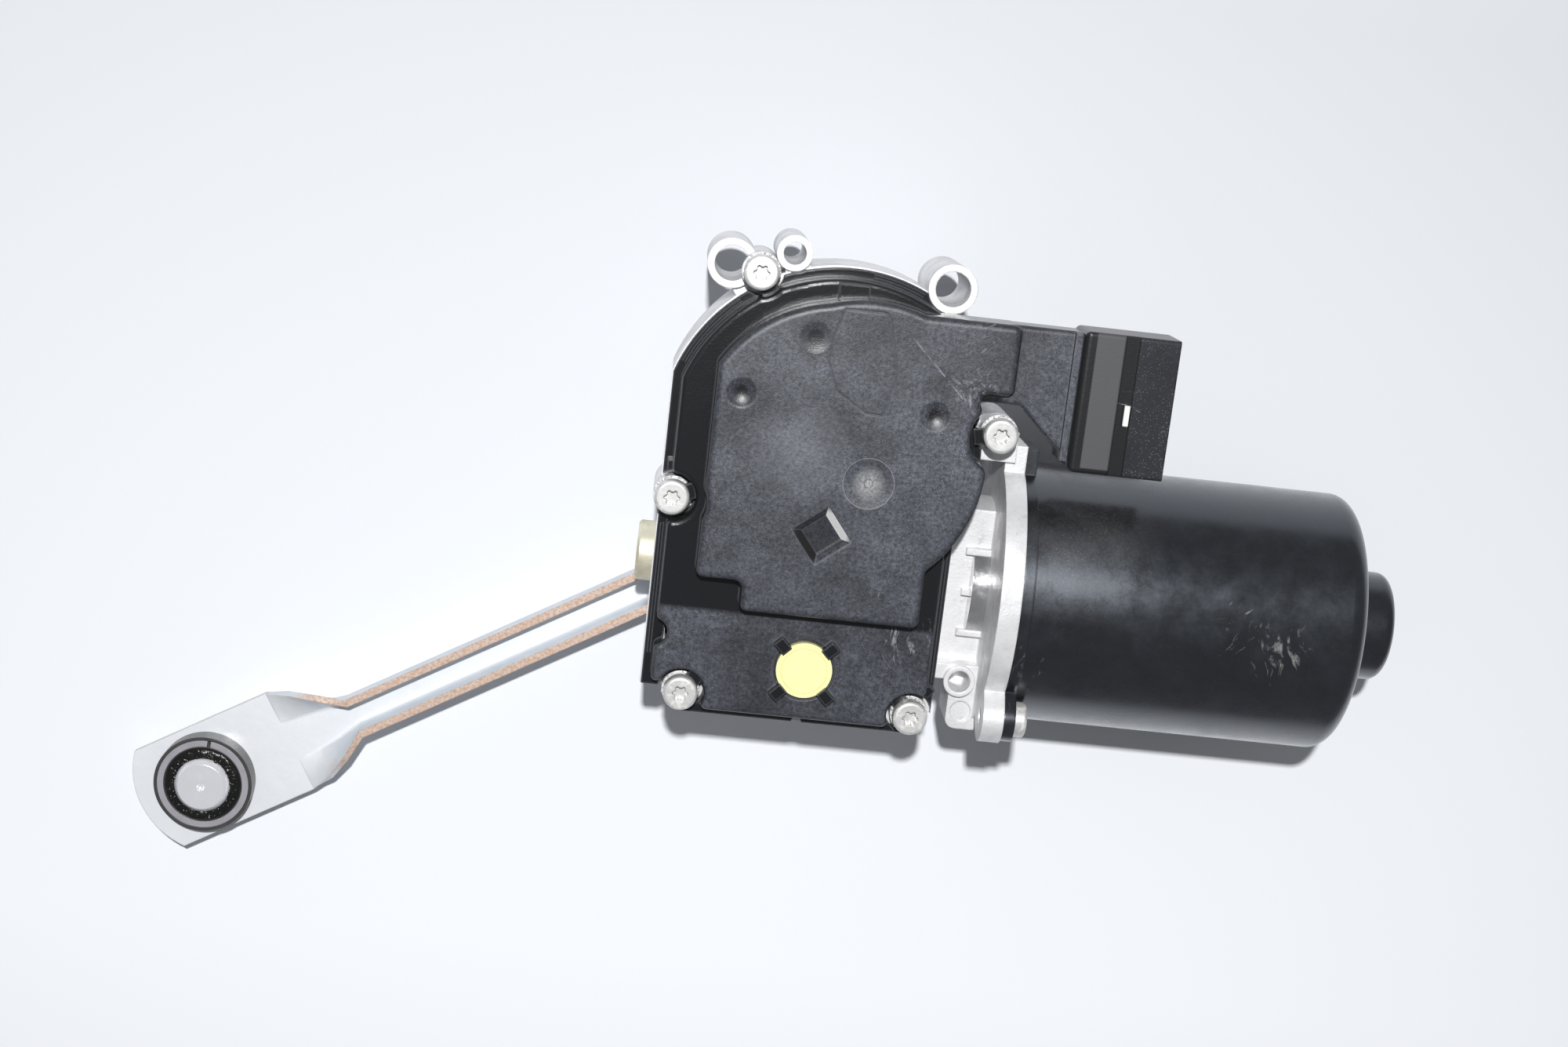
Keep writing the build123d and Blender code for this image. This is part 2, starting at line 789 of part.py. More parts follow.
with BuildPart() as cover_screws:
    for place_x, place_y in screw_xy:
        head_plane = Plane((place_x, place_y, lug_seat_z + lug_t))
        with BuildSketch(head_plane):
            Circle(screw_head_r)
        extrude(amount=screw_head_t)
        head_edges = cover_screws.edges().filter_by(GeomType.CIRCLE)
        head_top = head_plane.offset(screw_head_t).origin
        fillet(head_edges.sort_by_distance(head_top)[0], screw_head_round)
        with BuildSketch(head_plane.offset(screw_head_t)):
            add(star_recess())
        extrude(amount=-socket_depth, mode=Mode.SUBTRACT)
        with BuildSketch(head_plane):
            Circle(screw_r - seat_gap)
        extrude(amount=-screw_length)
cover_screws.part.label = "cover_screws"
export_step(cover_screws.part, "parts/cover_screws.step")

with BuildPart() as can_screws:
    for place_y, place_z in ear_places:
        head_plane = Plane(
            origin=(can_start_x + can_flange_t, motor_y + place_y, motor_z + place_z),
            x_dir=(0, 1, 0),
            z_dir=(1, 0, 0),
        )
        with BuildSketch(head_plane):
            Circle(can_screw_head_r)
        extrude(amount=screw_head_t)
        head_edges = can_screws.edges().filter_by(GeomType.CIRCLE)
        head_top = head_plane.offset(screw_head_t).origin
        fillet(head_edges.sort_by_distance(head_top)[0], screw_head_round)
        with BuildSketch(head_plane.offset(screw_head_t)):
            add(star_recess())
        extrude(amount=-socket_depth, mode=Mode.SUBTRACT)
        with BuildSketch(head_plane):
            Circle(screw_r - seat_gap)
        extrude(amount=-can_screw_length)
can_screws.part.label = "can_screws"
export_step(can_screws.part, "parts/can_screws.step")


# ---------------------------------------------------------------- motor can and field
def can_profile(inset):
    """Half section of the drawn can, shrunk by one amount all round for its inside."""
    body_r = can_r - inset
    boss_r = can_boss_r - inset
    with BuildSketch(Plane((0, motor_y, motor_z))) as outline:
        span(can_start_x, can_end_x - inset, 0, body_r)
        span(can_end_x - inset, can_boss_end_x - inset, 0, boss_r)
        for corner, radius in (
            ((can_end_x - inset, body_r), can_end_radius - inset),
            ((can_end_x - inset, boss_r), can_boss_radius - inset),
            ((can_boss_end_x - inset, boss_r), can_boss_radius - inset),
        ):
            fillet(outline.vertices().sort_by_distance(corner)[0], radius)
    return outline.sketch


with BuildPart() as motor_can:
    add(can_profile(0))
    revolve(axis=Axis((0, motor_y, motor_z), (1, 0, 0)))
    with BuildSketch(at_motor(can_start_x)):
        add(flange_outline(flange_setback))
        with Locations(ear_places):
            Circle(screw_r, mode=Mode.SUBTRACT)
    extrude(amount=can_flange_t)
    add(can_profile(can_wall))
    revolve(axis=Axis((0, motor_y, motor_z), (1, 0, 0)), mode=Mode.SUBTRACT)
motor_can.part.label = "motor_can"
export_step(motor_can.part, "parts/motor_can.step")

magnet_out_r = can_r - can_wall
magnet_in_r = magnet_out_r - magnet_wall
core_r = magnet_in_r - armature_gap
magnet_split = 2 * magnet_out_r * math.cos(math.radians(magnet_arc / 2))

with BuildPart() as field_magnets:
    with BuildSketch(at_motor(magnet_start_x)):
        Circle(magnet_out_r)
        Circle(magnet_in_r, mode=Mode.SUBTRACT)
        Rectangle(2 * magnet_out_r, magnet_split, mode=Mode.SUBTRACT)
    extrude(amount=magnet_length)
field_magnets.part.label = "field_magnets"
export_step(field_magnets.part, "parts/field_magnets.step")

with BuildPart() as magnet_clips:
    with BuildSketch(at_motor(magnet_start_x + magnet_length / 4)):
        Circle(magnet_out_r)
        Circle(magnet_out_r - magnet_clip_t, mode=Mode.SUBTRACT)
        Rectangle(2 * magnet_out_r, magnet_split, mode=Mode.INTERSECT)
    extrude(amount=magnet_length / 2)
magnet_clips.part.label = "magnet_clips"
export_step(magnet_clips.part, "parts/magnet_clips.step")

# ---------------------------------------------------------------- armature
core_end_x = core_start_x + core_length
slot_centre_r = core_r - slot_lip - slot_depth / 2
thread_start_x = -thread_half_turns * worm_lead
thread_helix = Helix(
    pitch=worm_lead,
    height=2 * thread_half_turns * worm_lead,
    radius=worm_pitch_r,
)
thread_path = at_motor(thread_start_x).location * thread_helix
thread_plane = Plane(origin=thread_path @ 0, x_dir=(0, 1, 0), z_dir=thread_path % 0)
slope = math.tan(math.radians(flank_angle))
half_pitch = worm_lead / 4 - flank_play / 2
thrust_ball_x = worm_bush_x + run_gap + thrust_ball_r

with BuildPart() as armature_shaft:
    with BuildSketch(at_motor(thrust_ball_x)):
        Circle(worm_journal_r)
    extrude(amount=worm_bush_x + worm_bush_length + shaft_step_gap - thrust_ball_x)
    with BuildSketch(at_motor(worm_bush_x + worm_bush_length + shaft_step_gap)):
        Circle(worm_root_r)
    extrude(amount=-thread_start_x + worm_lead - worm_bush_x - worm_bush_length - shaft_step_gap)
    with BuildSketch(at_motor(-thread_start_x + worm_lead)):
        Circle(bearing_bore_r)
    extrude(amount=bearing_x + bearing_w + thread_start_x - worm_lead)
    with BuildSketch(at_motor(bearing_x + bearing_w)):
        Circle(spindle_r)
    extrude(amount=core_end_x + winding_overhang - bearing_x - bearing_w)
    with BuildSketch(at_motor(core_end_x + winding_overhang)):
        Circle(rear_journal_r)
    extrude(amount=rear_bush_x + rear_bush_length - core_end_x - winding_overhang)
    with Locations((thrust_ball_x, motor_y, motor_z)):
        Sphere(thrust_ball_r, mode=Mode.SUBTRACT)
    with BuildSketch(thread_plane):
        with BuildLine():
            Polyline(
                (tooth_module, half_pitch - tooth_module * slope),
                (-tooth_module - 2 * root_gap, half_pitch + (tooth_module + 2 * root_gap) * slope),
                (-tooth_module - 2 * root_gap, -half_pitch - (tooth_module + 2 * root_gap) * slope),
                (tooth_module, tooth_module * slope - half_pitch),
                close=True,
            )
        make_face()
    sweep(path=thread_path, is_frenet=True)
armature_shaft.part.label = "armature_shaft"
export_step(armature_shaft.part, "parts/armature_shaft.step")

with BuildPart() as armature_core:
    with BuildSketch(at_motor(core_start_x)):
        Circle(core_r)
        Circle(spindle_r, mode=Mode.SUBTRACT)
        with PolarLocations(slot_centre_r, core_slots):
            Rectangle(slot_depth, slot_w, mode=Mode.SUBTRACT)
        with PolarLocations(core_r, core_slots):
            Rectangle(2 * slot_lip + slot_w, slot_mouth, mode=Mode.SUBTRACT)
    extrude(amount=core_length)
armature_core.part.label = "armature_core"
export_step(armature_core.part, "parts/armature_core.step")

with BuildPart() as armature_winding:
    with BuildSketch(at_motor(core_start_x - winding_overhang / 2)):
        with PolarLocations(slot_centre_r, core_slots):
            Rectangle(slot_depth, slot_w - 2 * seat_gap)
    extrude(amount=core_length + winding_overhang)
    for start_x, run in ((core_start_x, -winding_overhang), (core_end_x, winding_overhang)):
        with BuildSketch(at_motor(start_x)):
            Circle(slot_centre_r + slot_depth / 2)
            Circle(winding_in_r, mode=Mode.SUBTRACT)
        extrude(amount=run)
armature_winding.part.label = "armature_winding"
export_step(armature_winding.part, "parts/armature_winding.step")

with BuildPart() as commutator:
    with BuildSketch(at_motor(commutator_x)):
        Circle(commutator_r)
    extrude(amount=commutator_length)
    with BuildSketch(at_motor(commutator_x + commutator_length)):
        Circle(riser_r)
    extrude(amount=-riser_t)
    with BuildSketch(at_motor(commutator_x)):
        Circle(spindle_r)
        with PolarLocations(riser_r, core_slots):
            Rectangle(2 * (riser_r - commutator_r + commutator_slit), commutator_slit)
    extrude(amount=commutator_length, mode=Mode.SUBTRACT)
commutator.part.label = "commutator"
export_step(commutator.part, "parts/commutator.step")

with BuildPart() as thrust_ball:
    with Locations((thrust_ball_x, motor_y, motor_z)):
        Sphere(thrust_ball_r)
thrust_ball.part.label = "thrust_ball"
export_step(thrust_ball.part, "parts/thrust_ball.step")

# ---------------------------------------------------------------- armature bearings
with BuildPart() as worm_end_plug:
    with BuildSketch(at_motor(plug_x)):
        Circle(plug_r)
    extrude(amount=plug_length)
    chamfer(worm_end_plug.faces().sort_by(Axis.X)[0].edges(), boss_chamfer)
    with BuildSketch(at_motor(plug_x)):
        RegularPolygon(thrust_ball_r, 6)
    extrude(amount=plug_length / 2, mode=Mode.SUBTRACT)
worm_end_plug.part.label = "worm_end_plug"
export_step(worm_end_plug.part, "parts/worm_end_plug.step")

with BuildPart() as worm_end_bush:
    with BuildSketch(at_motor(worm_bush_x)):
        Circle(worm_bush_r)
        Circle(worm_journal_r + run_gap, mode=Mode.SUBTRACT)
    extrude(amount=worm_bush_length)
worm_end_bush.part.label = "worm_end_bush"
export_step(worm_end_bush.part, "parts/worm_end_bush.step")

with BuildPart() as rear_bush:
    with BuildSketch(at_motor(rear_bush_x)):
        Circle(can_boss_r - can_wall)
    extrude(amount=rear_bush_length)
    fillet(rear_bush.edges().filter_by(GeomType.CIRCLE), can_boss_radius - can_wall)
    with BuildSketch(at_motor(rear_bush_x)):
        Circle(rear_journal_r + run_gap)
    extrude(amount=rear_bush_length, mode=Mode.SUBTRACT)
rear_bush.part.label = "rear_bush"
export_step(rear_bush.part, "parts/rear_bush.step")

outer_race_r = bearing_r - ring_wall
inner_race_r = bearing_bore_r + ring_wall
race_ball_r = (outer_race_r - inner_race_r) / 2 - run_gap

with BuildPart() as bearing_outer_ring:
    with BuildSketch(at_motor(bearing_x)):
        Circle(bearing_r)
        Circle(outer_race_r, mode=Mode.SUBTRACT)
    extrude(amount=bearing_w)
    with BuildSketch(at_motor(bearing_x)):
        Circle(outer_race_r)
        Circle(inner_race_r + shield_gap, mode=Mode.SUBTRACT)
    extrude(amount=shield_t)
    with BuildSketch(at_motor(bearing_x + bearing_w)):
        Circle(outer_race_r)
        Circle(inner_race_r + shield_gap, mode=Mode.SUBTRACT)
    extrude(amount=-shield_t)
bearing_outer_ring.part.label = "bearing_outer_ring"
export_step(bearing_outer_ring.part, "parts/bearing_outer_ring.step")

with BuildPart() as bearing_inner_ring:
    with BuildSketch(at_motor(bearing_x)):
        Circle(inner_race_r)
        Circle(bearing_bore_r, mode=Mode.SUBTRACT)
    extrude(amount=bearing_w)
bearing_inner_ring.part.label = "bearing_inner_ring"
export_step(bearing_inner_ring.part, "parts/bearing_inner_ring.step")

with BuildPart() as bearing_balls:
    with Locations(at_motor(bearing_x + bearing_w / 2)):
        with PolarLocations((outer_race_r + inner_race_r) / 2, ball_count):
            Sphere(race_ball_r)
bearing_balls.part.label = "bearing_balls"
export_step(bearing_balls.part, "parts/bearing_balls.step")

# ---------------------------------------------------------------- brush gear
holder_x = can_start_x - flange_recess
brush_x = commutator_x + (commutator_length - riser_t) / 2
brush_face_r = commutator_r + brush_gap
box_end_r = brush_face_r + brush_length + spring_length

with BuildPart() as brush_holder:
    with BuildSketch(at_motor(holder_x)):
        Circle(flange_recess_r - seat_gap)
        Circle(bearing_r + seat_gap, mode=Mode.SUBTRACT)
    extrude(amount=flange_recess)
    with BuildSketch(at_motor(can_start_x)):
        with PolarLocations((bearing_r + box_end_r + box_wall) / 2, 2):
            Rectangle(box_end_r + box_wall - bearing_r, brush_t + 2 * box_wall)
    extrude(amount=brush_x + brush_w / 2 + box_wall - can_start_x)
    with BuildSketch(at_motor(brush_x - brush_w / 2)):
        Rectangle(2 * box_end_r, brush_t)
    extrude(amount=brush_w, mode=Mode.SUBTRACT)
brush_holder.part.label = "brush_holder"
export_step(brush_holder.part, "parts/brush_holder.step")

with BuildPart() as brushes:
    with BuildSketch(at_motor(brush_x - brush_w / 2)):
        with PolarLocations((commutator_r + brush_face_r + brush_length) / 2, 2):
            Rectangle(brush_face_r + brush_length - commutator_r, brush_t - 2 * seat_gap)
        Circle(brush_face_r, mode=Mode.SUBTRACT)
    extrude(amount=brush_w)
brushes.part.label = "brushes"
export_step(brushes.part, "parts/brushes.step")

coil_height = spring_length - 2 * spring_wire
coil = Helix(pitch=coil_height / spring_turns, height=coil_height, radius=spring_r)
coil_paths = [
    Plane(
        origin=(brush_x, motor_y + side * (brush_face_r + brush_length + spring_wire), motor_z),
        x_dir=(1, 0, 0),
        z_dir=(0, side, 0),
    ).location * coil
    for side in (1, -1)
]

with BuildPart() as brush_springs:
    for coil_path in coil_paths:
        with BuildSketch(Plane(origin=coil_path @ 0, z_dir=coil_path % 0)):
            RegularPolygon(spring_wire, 6)
        sweep(path=coil_path, is_frenet=True)
brush_springs.part.label = "brush_springs"
export_step(brush_springs.part, "parts/brush_springs.step")

# ---------------------------------------------------------------- output shaft and wheel
wheel_low_z = motor_z - wheel_width / 2
groove_z = out_boss_z - ring_gap - ring_t


def wheel_outline(turn):
    """Straight-flanked teeth of the worm wheel, turned by one angle about its axis."""
    pitch_angle = 360 / wheel_teeth
    half_pitch = math.degrees((math.pi * tooth_module / 2 - flank_play) / 2 / wheel_pitch_r)
    lean = math.tan(math.radians(flank_angle)) / wheel_pitch_r
    tip = half_pitch - math.degrees(tooth_module * lean)
    root = half_pitch + math.degrees((tooth_module + root_gap) * lean)
    corners = []
    for tooth in range(wheel_teeth):
        centre = (tooth + 0.5) * pitch_angle + turn
        for angle, radius in (
            (-root, wheel_root_r),
            (-tip, wheel_tip_r),
            (tip, wheel_tip_r),
            (root, wheel_root_r),
        ):
            corners.append(toward(centre + angle, radius))
    with BuildSketch() as outline:
        with BuildLine():
            Polyline(*corners, close=True)
        make_face()
    return outline.sketch


with BuildPart() as worm_wheel:
    with BuildSketch(Plane.XY.offset(wheel_low_z)):
        add(wheel_outline(-twist_per_mm * wheel_width / 2))
    with BuildSketch(Plane.XY.offset(wheel_low_z + wheel_width)):
        add(wheel_outline(twist_per_mm * wheel_width / 2))
    loft(ruled=True)
    for face_z, run in ((wheel_low_z, 1), (wheel_low_z + wheel_width, -1)):
        with BuildSketch(Plane.XY.offset(face_z)):
            Circle(wheel_root_r - wheel_rim_wall)
            Circle(wheel_hub_r, mode=Mode.SUBTRACT)
            with PolarLocations((wheel_hub_r + wheel_root_r) / 2, wheel_ribs):
                Rectangle(wheel_root_r, wheel_rib_t, mode=Mode.SUBTRACT)
        extrude(amount=run * (wheel_width - wheel_web) / 2, mode=Mode.SUBTRACT)
    with BuildSketch(Plane.XY.offset(wheel_low_z)):
        Circle(hub_insert_r)
    extrude(amount=wheel_width, mode=Mode.SUBTRACT)
worm_wheel.part.label = "worm_wheel"
export_step(worm_wheel.part, "parts/worm_wheel.step")

with BuildPart() as wheel_hub:
    with BuildSketch(Plane.XY.offset(floor_z + ring_gap)):
        Circle(hub_insert_r)
        Circle(shaft_r, mode=Mode.SUBTRACT)
    extrude(amount=wheel_low_z + wheel_width + hub_stand - floor_z - ring_gap)
wheel_hub.part.label = "wheel_hub"
export_step(wheel_hub.part, "parts/wheel_hub.step")

with BuildPart() as output_shaft:
    with BuildSketch(Plane.XY.offset(pilot_l)):
        Circle(stud_r)
    extrude(amount=crank_hub_z - pilot_l)
    chamfer(output_shaft.faces().sort_by(Axis.Z)[0].edges(), stud_r - pilot_r)
    with BuildSketch():
        Circle(pilot_r)
    extrude(amount=pilot_l)
    with BuildSketch(Plane.XY.offset(crank_hub_z)):
        Circle(stud_r)
    with BuildSketch(Plane.XY.offset(crank_hub_z + crank_t)):
        Circle(shaft_r)
    loft()
    with BuildSketch(Plane.XY.offset(crank_hub_z + crank_t)):
        Circle(shaft_r)
    extrude(amount=shaft_top_z - crank_hub_z - crank_t)
    chamfer(output_shaft.faces().sort_by(Axis.Z)[-1].edges(), boss_chamfer)
    with BuildSketch(Plane.XY.offset(groove_z)):
        Circle(shaft_r)
        Circle(shaft_r - ring_groove, mode=Mode.SUBTRACT)
    extrude(amount=ring_t, mode=Mode.SUBTRACT)
output_shaft.part.label = "output_shaft"
export_step(output_shaft.part, "parts/output_shaft.step")

with BuildPart() as sensor_magnet:
    with BuildSketch(Plane.XY.offset(shaft_top_z)):
        Circle(magnet_r)
    extrude(amount=magnet_t)
sensor_magnet.part.label = "sensor_magnet"
export_step(sensor_magnet.part, "parts/sensor_magnet.step")

with BuildPart() as shaft_bush:
    with BuildSketch(Plane.XY.offset(out_boss_z + seal_t)):
        Circle(shaft_r + bush_wall)
        Circle(shaft_r + run_gap, mode=Mode.SUBTRACT)
    extrude(amount=floor_z - out_boss_z - seal_t)
shaft_bush.part.label = "shaft_bush"
export_step(shaft_bush.part, "parts/shaft_bush.step")

with BuildPart() as shaft_seal:
    with BuildSketch(Plane.XY.offset(out_boss_z)):
        Circle(shaft_r + bush_wall)
        Circle(shaft_r + run_gap, mode=Mode.SUBTRACT)
    extrude(amount=seal_t)
shaft_seal.part.label = "shaft_seal"
export_step(shaft_seal.part, "parts/shaft_seal.step")

with BuildPart() as retaining_ring:
    with BuildSketch(Plane.XY.offset(groove_z)):
        Circle(shaft_r + bush_wall - boss_chamfer)
        Circle(shaft_r - ring_groove, mode=Mode.SUBTRACT)
        span(0, shaft_r + bush_wall, -ring_mouth / 2, ring_mouth / 2, Mode.SUBTRACT)
    extrude(amount=ring_t)
retaining_ring.part.label = "retaining_ring"
export_step(retaining_ring.part, "parts/retaining_ring.step")

# ---------------------------------------------------------------- crank
crank_plane = Plane.XY.rotated((0, 0, crank_angle))
crank_side = Plane(origin=(0, 0, 0), x_dir=crank_plane.x_dir, z_dir=-crank_plane.y_dir)
joggle_shift = crank_t * math.tan(math.atan2(crank_rise, joggle_run) / 2)

with BuildPart() as crank_arm:
    with BuildSketch(crank_plane):
        Circle(crank_hub_r)
        with Locations((crank_r, 0)):
            Circle(crank_eye_r)
        make_hull()
    extrude(amount=crank_hub_z + crank_rise + crank_t)
    with BuildSketch(crank_side):
        with BuildLine():
            Polyline(
                (-2 * crank_hub_r, crank_hub_z),
                (joggle_start, crank_hub_z),
                (joggle_start + joggle_run, crank_hub_z + crank_rise),
                (2 * crank_r, crank_hub_z + crank_rise),
                (2 * crank_r, crank_hub_z + crank_rise + crank_t),
                (joggle_start + joggle_run - joggle_shift, crank_hub_z + crank_rise + crank_t),
                (joggle_start - joggle_shift, crank_hub_z + crank_t),
                (-2 * crank_hub_r, crank_hub_z + crank_t),
                close=True,
            )
        make_face()
    extrude(amount=2 * crank_eye_r, both=True, mode=Mode.INTERSECT)
    with BuildSketch(Plane.XY.offset(crank_hub_z)):
        Circle(stud_r)
    with BuildSketch(Plane.XY.offset(crank_hub_z + crank_t)):
        Circle(shaft_r)
    loft(mode=Mode.SUBTRACT)
    with BuildSketch(crank_plane):
        with Locations((crank_r, 0)):
            Circle(neck_ball_r)
    extrude(amount=crank_hub_z + crank_rise + crank_t, mode=Mode.SUBTRACT)
crank_arm.part.label = "crank_arm"
export_step(crank_arm.part, "parts/crank_arm.step")

with BuildPart() as crank_nut:
    with BuildSketch(Plane.XY.offset(crank_hub_z)):
        Circle(nut_across / 2 + nut_flange)
    extrude(amount=-nut_flange_t)
    with BuildSketch(Plane.XY.offset(crank_hub_z)):
        RegularPolygon(nut_across / 2, 6, major_radius=False)
    extrude(amount=-nut_t)
    with BuildSketch(Plane.XY.offset(crank_hub_z)):
        Circle(stud_r)
    extrude(amount=-nut_t, mode=Mode.SUBTRACT)
crank_nut.part.label = "crank_nut"
export_step(crank_nut.part, "parts/crank_nut.step")

plate_top_z = crank_hub_z + crank_rise + crank_t
ball_z = crank_hub_z + crank_rise - ball_drop

with BuildPart() as ball_stud:
    with Locations((crank_eye_x, crank_eye_y, ball_z)):
        Sphere(ball_r)
    with BuildSketch(Plane((crank_eye_x, crank_eye_y, ball_z))):
        Circle(neck_ball_r)
    extrude(amount=plate_top_z - ball_z)
    with BuildSketch(Plane((crank_eye_x, crank_eye_y, plate_top_z))):
        Circle(neck_ball_r + rivet_spread)
    extrude(amount=rivet_t)
ball_stud.part.label = "ball_stud"
export_step(ball_stud.part, "parts/ball_stud.step")

# ---------------------------------------------------------------- link rod and its sockets
rod_z = ball_z - rod_drop
cup_low_z = ball_z - cup_depth
cup_top_z = ball_z + cup_rise
liner_top_z = ball_z + liner_rise
shank_mouth_z = ball_z - shank_mouth
ball_flat_z = ball_z + math.sqrt(ball_r**2 - ball_flat_r**2)
rod_plane = Plane((crank_eye_x, crank_eye_y, rod_z)).rotated((0, 0, rod_angle))
far_centre = rod_plane.from_local_coords((rod_length, 0, 0))
liner_out_r = ball_r + liner_gap + liner_wall
cup_in_r = liner_out_r + liner_gap
cup_out_r = cup_in_r + cup_wall
fold_half = rod_half + rod_fold


def rod_station(along):
    """The plane square to the rod at one distance from its crank end."""
    start = rod_plane.from_local_coords((along, 0, 0))
    return Plane(origin=start, x_dir=rod_plane.y_dir, z_dir=rod_plane.x_dir)


def folded_strip(fold):
    """Section of the rod's sheet with both edges folded up by one angle."""
    lean = math.radians(fold)
    edge = (rod_half + rod_fold * math.cos(lean), rod_fold * math.sin(lean))
    inner = (edge[0] - rod_t * math.sin(lean), edge[1] + rod_t * math.cos(lean))
    root = (rod_half - rod_t * math.tan(lean / 2), rod_t)
    right = [(rod_half, 0), edge, inner, root]
    left = [(-x, y) for x, y in reversed(right)]
    with BuildSketch() as outline:
        with BuildLine():
            Polyline(*right, *left, close=True)
        make_face()
        for corner, radius in ((right[0], bend_r + rod_t), (root, bend_r)):
            for side in (1, -1):
                bend = outline.vertices().sort_by_distance((side * corner[0], corner[1]))[0]
                fillet(bend, radius)
    return outline.sketch


far_plane = Plane(far_centre).rotated((0, 0, rod_angle + 180))
channel_start = crank_pad_front + crank_fold_run
channel_end = rod_length - pad_front - fold_run

with BuildPart() as link_rod:
    for end_plane, front in ((rod_plane, crank_pad_front), (far_plane, pad_front)):
        with BuildSketch(end_plane):
            with BuildLine():
                Polyline(
                    (-pad_corner, fold_half),
                    (front, fold_half),
                    (front, -fold_half),
                    (-pad_corner, -fold_half),
                )
                ThreePointArc(
                    (-pad_corner, -fold_half),
                    (-pad_nose, 0),
                    (-pad_corner, fold_half),
                )
            make_face()
            Circle(cup_out_r, mode=Mode.SUBTRACT)
        extrude(amount=rod_t)
    for start, run in ((crank_pad_front, crank_fold_run), (rod_length - pad_front, -fold_run)):
        for step in range(fold_steps + 1):
            with BuildSketch(rod_station(start + run * step / fold_steps)):
                add(folded_strip(first_fold + (90 - first_fold) * step / fold_steps))
        loft(ruled=True)
    with BuildSketch(rod_station(channel_start)):
        add(folded_strip(90))
    extrude(amount=channel_end - channel_start)
link_rod.part.label = "link_rod"
export_step(link_rod.part, "parts/link_rod.step")


def socket_cup(centre_x, centre_y, foot_z):
    """The moulded cup of a ball joint, standing in its hole in the rod's pad."""
    with BuildSketch(Plane.XZ) as half_section:
        with BuildLine():
            Polyline(
                (0, cup_low_z),
                (cup_out_r - cup_foot, cup_low_z),
                (cup_out_r, cup_low_z + cup_foot),
                (cup_out_r, rod_z + rod_t),
                (cup_flange_r, rod_z + rod_t),
                (cup_flange_r, cup_top_z),
                (cup_ring_out, cup_top_z),
                (cup_ring_out, cup_top_z - cup_ring_t),
                (cup_ring_in, cup_top_z - cup_ring_t),
                (cup_ring_in, cup_top_z),
                (0, cup_top_z),
                close=True,
            )
        make_face()
        with Locations((0, ball_z)):
            Circle(cup_in_r, mode=Mode.SUBTRACT)
        with BuildLine():
            Polyline(
                (0, cup_top_z),
                (cup_lip_r, cup_top_z),
                (cup_in_r - cup_lip_grip, cup_top_z - cup_lip_t),
                (0, cup_top_z - cup_lip_t),
                close=True,
            )
        make_face(mode=Mode.SUBTRACT)
        span(0, cup_flange_r, foot_z, cup_top_z, Mode.INTERSECT)
    solid = revolve(half_section.sketch, axis=Axis.Z, mode=Mode.PRIVATE)
    return Pos(centre_x, centre_y, 0) * solid


crank_cup = socket_cup(crank_eye_x, crank_eye_y, cup_low_z)
far_cup = socket_cup(far_centre.X, far_centre.Y, shank_mouth_z)

with BuildPart() as crank_end_socket:
    add(crank_cup)
crank_end_socket.part.label = "crank_end_socket"
export_step(crank_end_socket.part, "parts/crank_end_socket.step")

with BuildPart() as far_end_socket:
    add(far_cup)
far_end_socket.part.label = "far_end_socket"
export_step(far_end_socket.part, "parts/far_end_socket.step")

with BuildPart() as cup_rings:
    for centre_x, centre_y in ((crank_eye_x, crank_eye_y), (far_centre.X, far_centre.Y)):
        ring_plane = Plane((centre_x, centre_y, cup_top_z)).rotated((0, 0, cup_ring_turn))
        with BuildSketch(ring_plane):
            Circle(cup_ring_out - run_gap)
            Circle(cup_ring_in + run_gap, mode=Mode.SUBTRACT)
            span(0, cup_ring_out, -cup_ring_split / 2, cup_ring_split / 2, Mode.SUBTRACT)
        extrude(amount=-cup_ring_t)
cup_rings.part.label = "cup_rings"
export_step(cup_rings.part, "parts/cup_rings.step")

with BuildPart() as ball_liner:
    with Locations((crank_eye_x, crank_eye_y, ball_z)):
        Sphere(liner_out_r)
        Sphere(ball_r + liner_gap, mode=Mode.SUBTRACT)
    split(bisect_by=Plane.XY.offset(liner_top_z), keep=Keep.BOTTOM)
ball_liner.part.label = "ball_liner"
export_step(ball_liner.part, "parts/ball_liner.step")

with BuildPart() as far_ball_liner:
    with Locations((far_centre.X, far_centre.Y, ball_z)):
        Sphere(liner_out_r)
        Sphere(ball_r + liner_gap, mode=Mode.SUBTRACT)
    split(bisect_by=Plane.XY.offset(liner_top_z), keep=Keep.BOTTOM)
    split(bisect_by=Plane.XY.offset(shank_mouth_z), keep=Keep.TOP)
far_ball_liner.part.label = "far_ball_liner"
export_step(far_ball_liner.part, "parts/far_ball_liner.step")

with BuildPart() as far_ball_stud:
    with Locations((far_centre.X, far_centre.Y, ball_z)):
        Sphere(ball_r)
    split(bisect_by=Plane.XY.offset(ball_flat_z), keep=Keep.BOTTOM)
    with BuildSketch(Plane((far_centre.X, far_centre.Y, ball_z))):
        Circle(neck_ball_r)
    extrude(amount=-ball_z)
    with Locations((far_centre.X, far_centre.Y, ball_flat_z + ball_dimple_r / 2)):
        Sphere(ball_dimple_r, mode=Mode.SUBTRACT)
far_ball_stud.part.label = "far_ball_stud"
export_step(far_ball_stud.part, "parts/far_ball_stud.step")

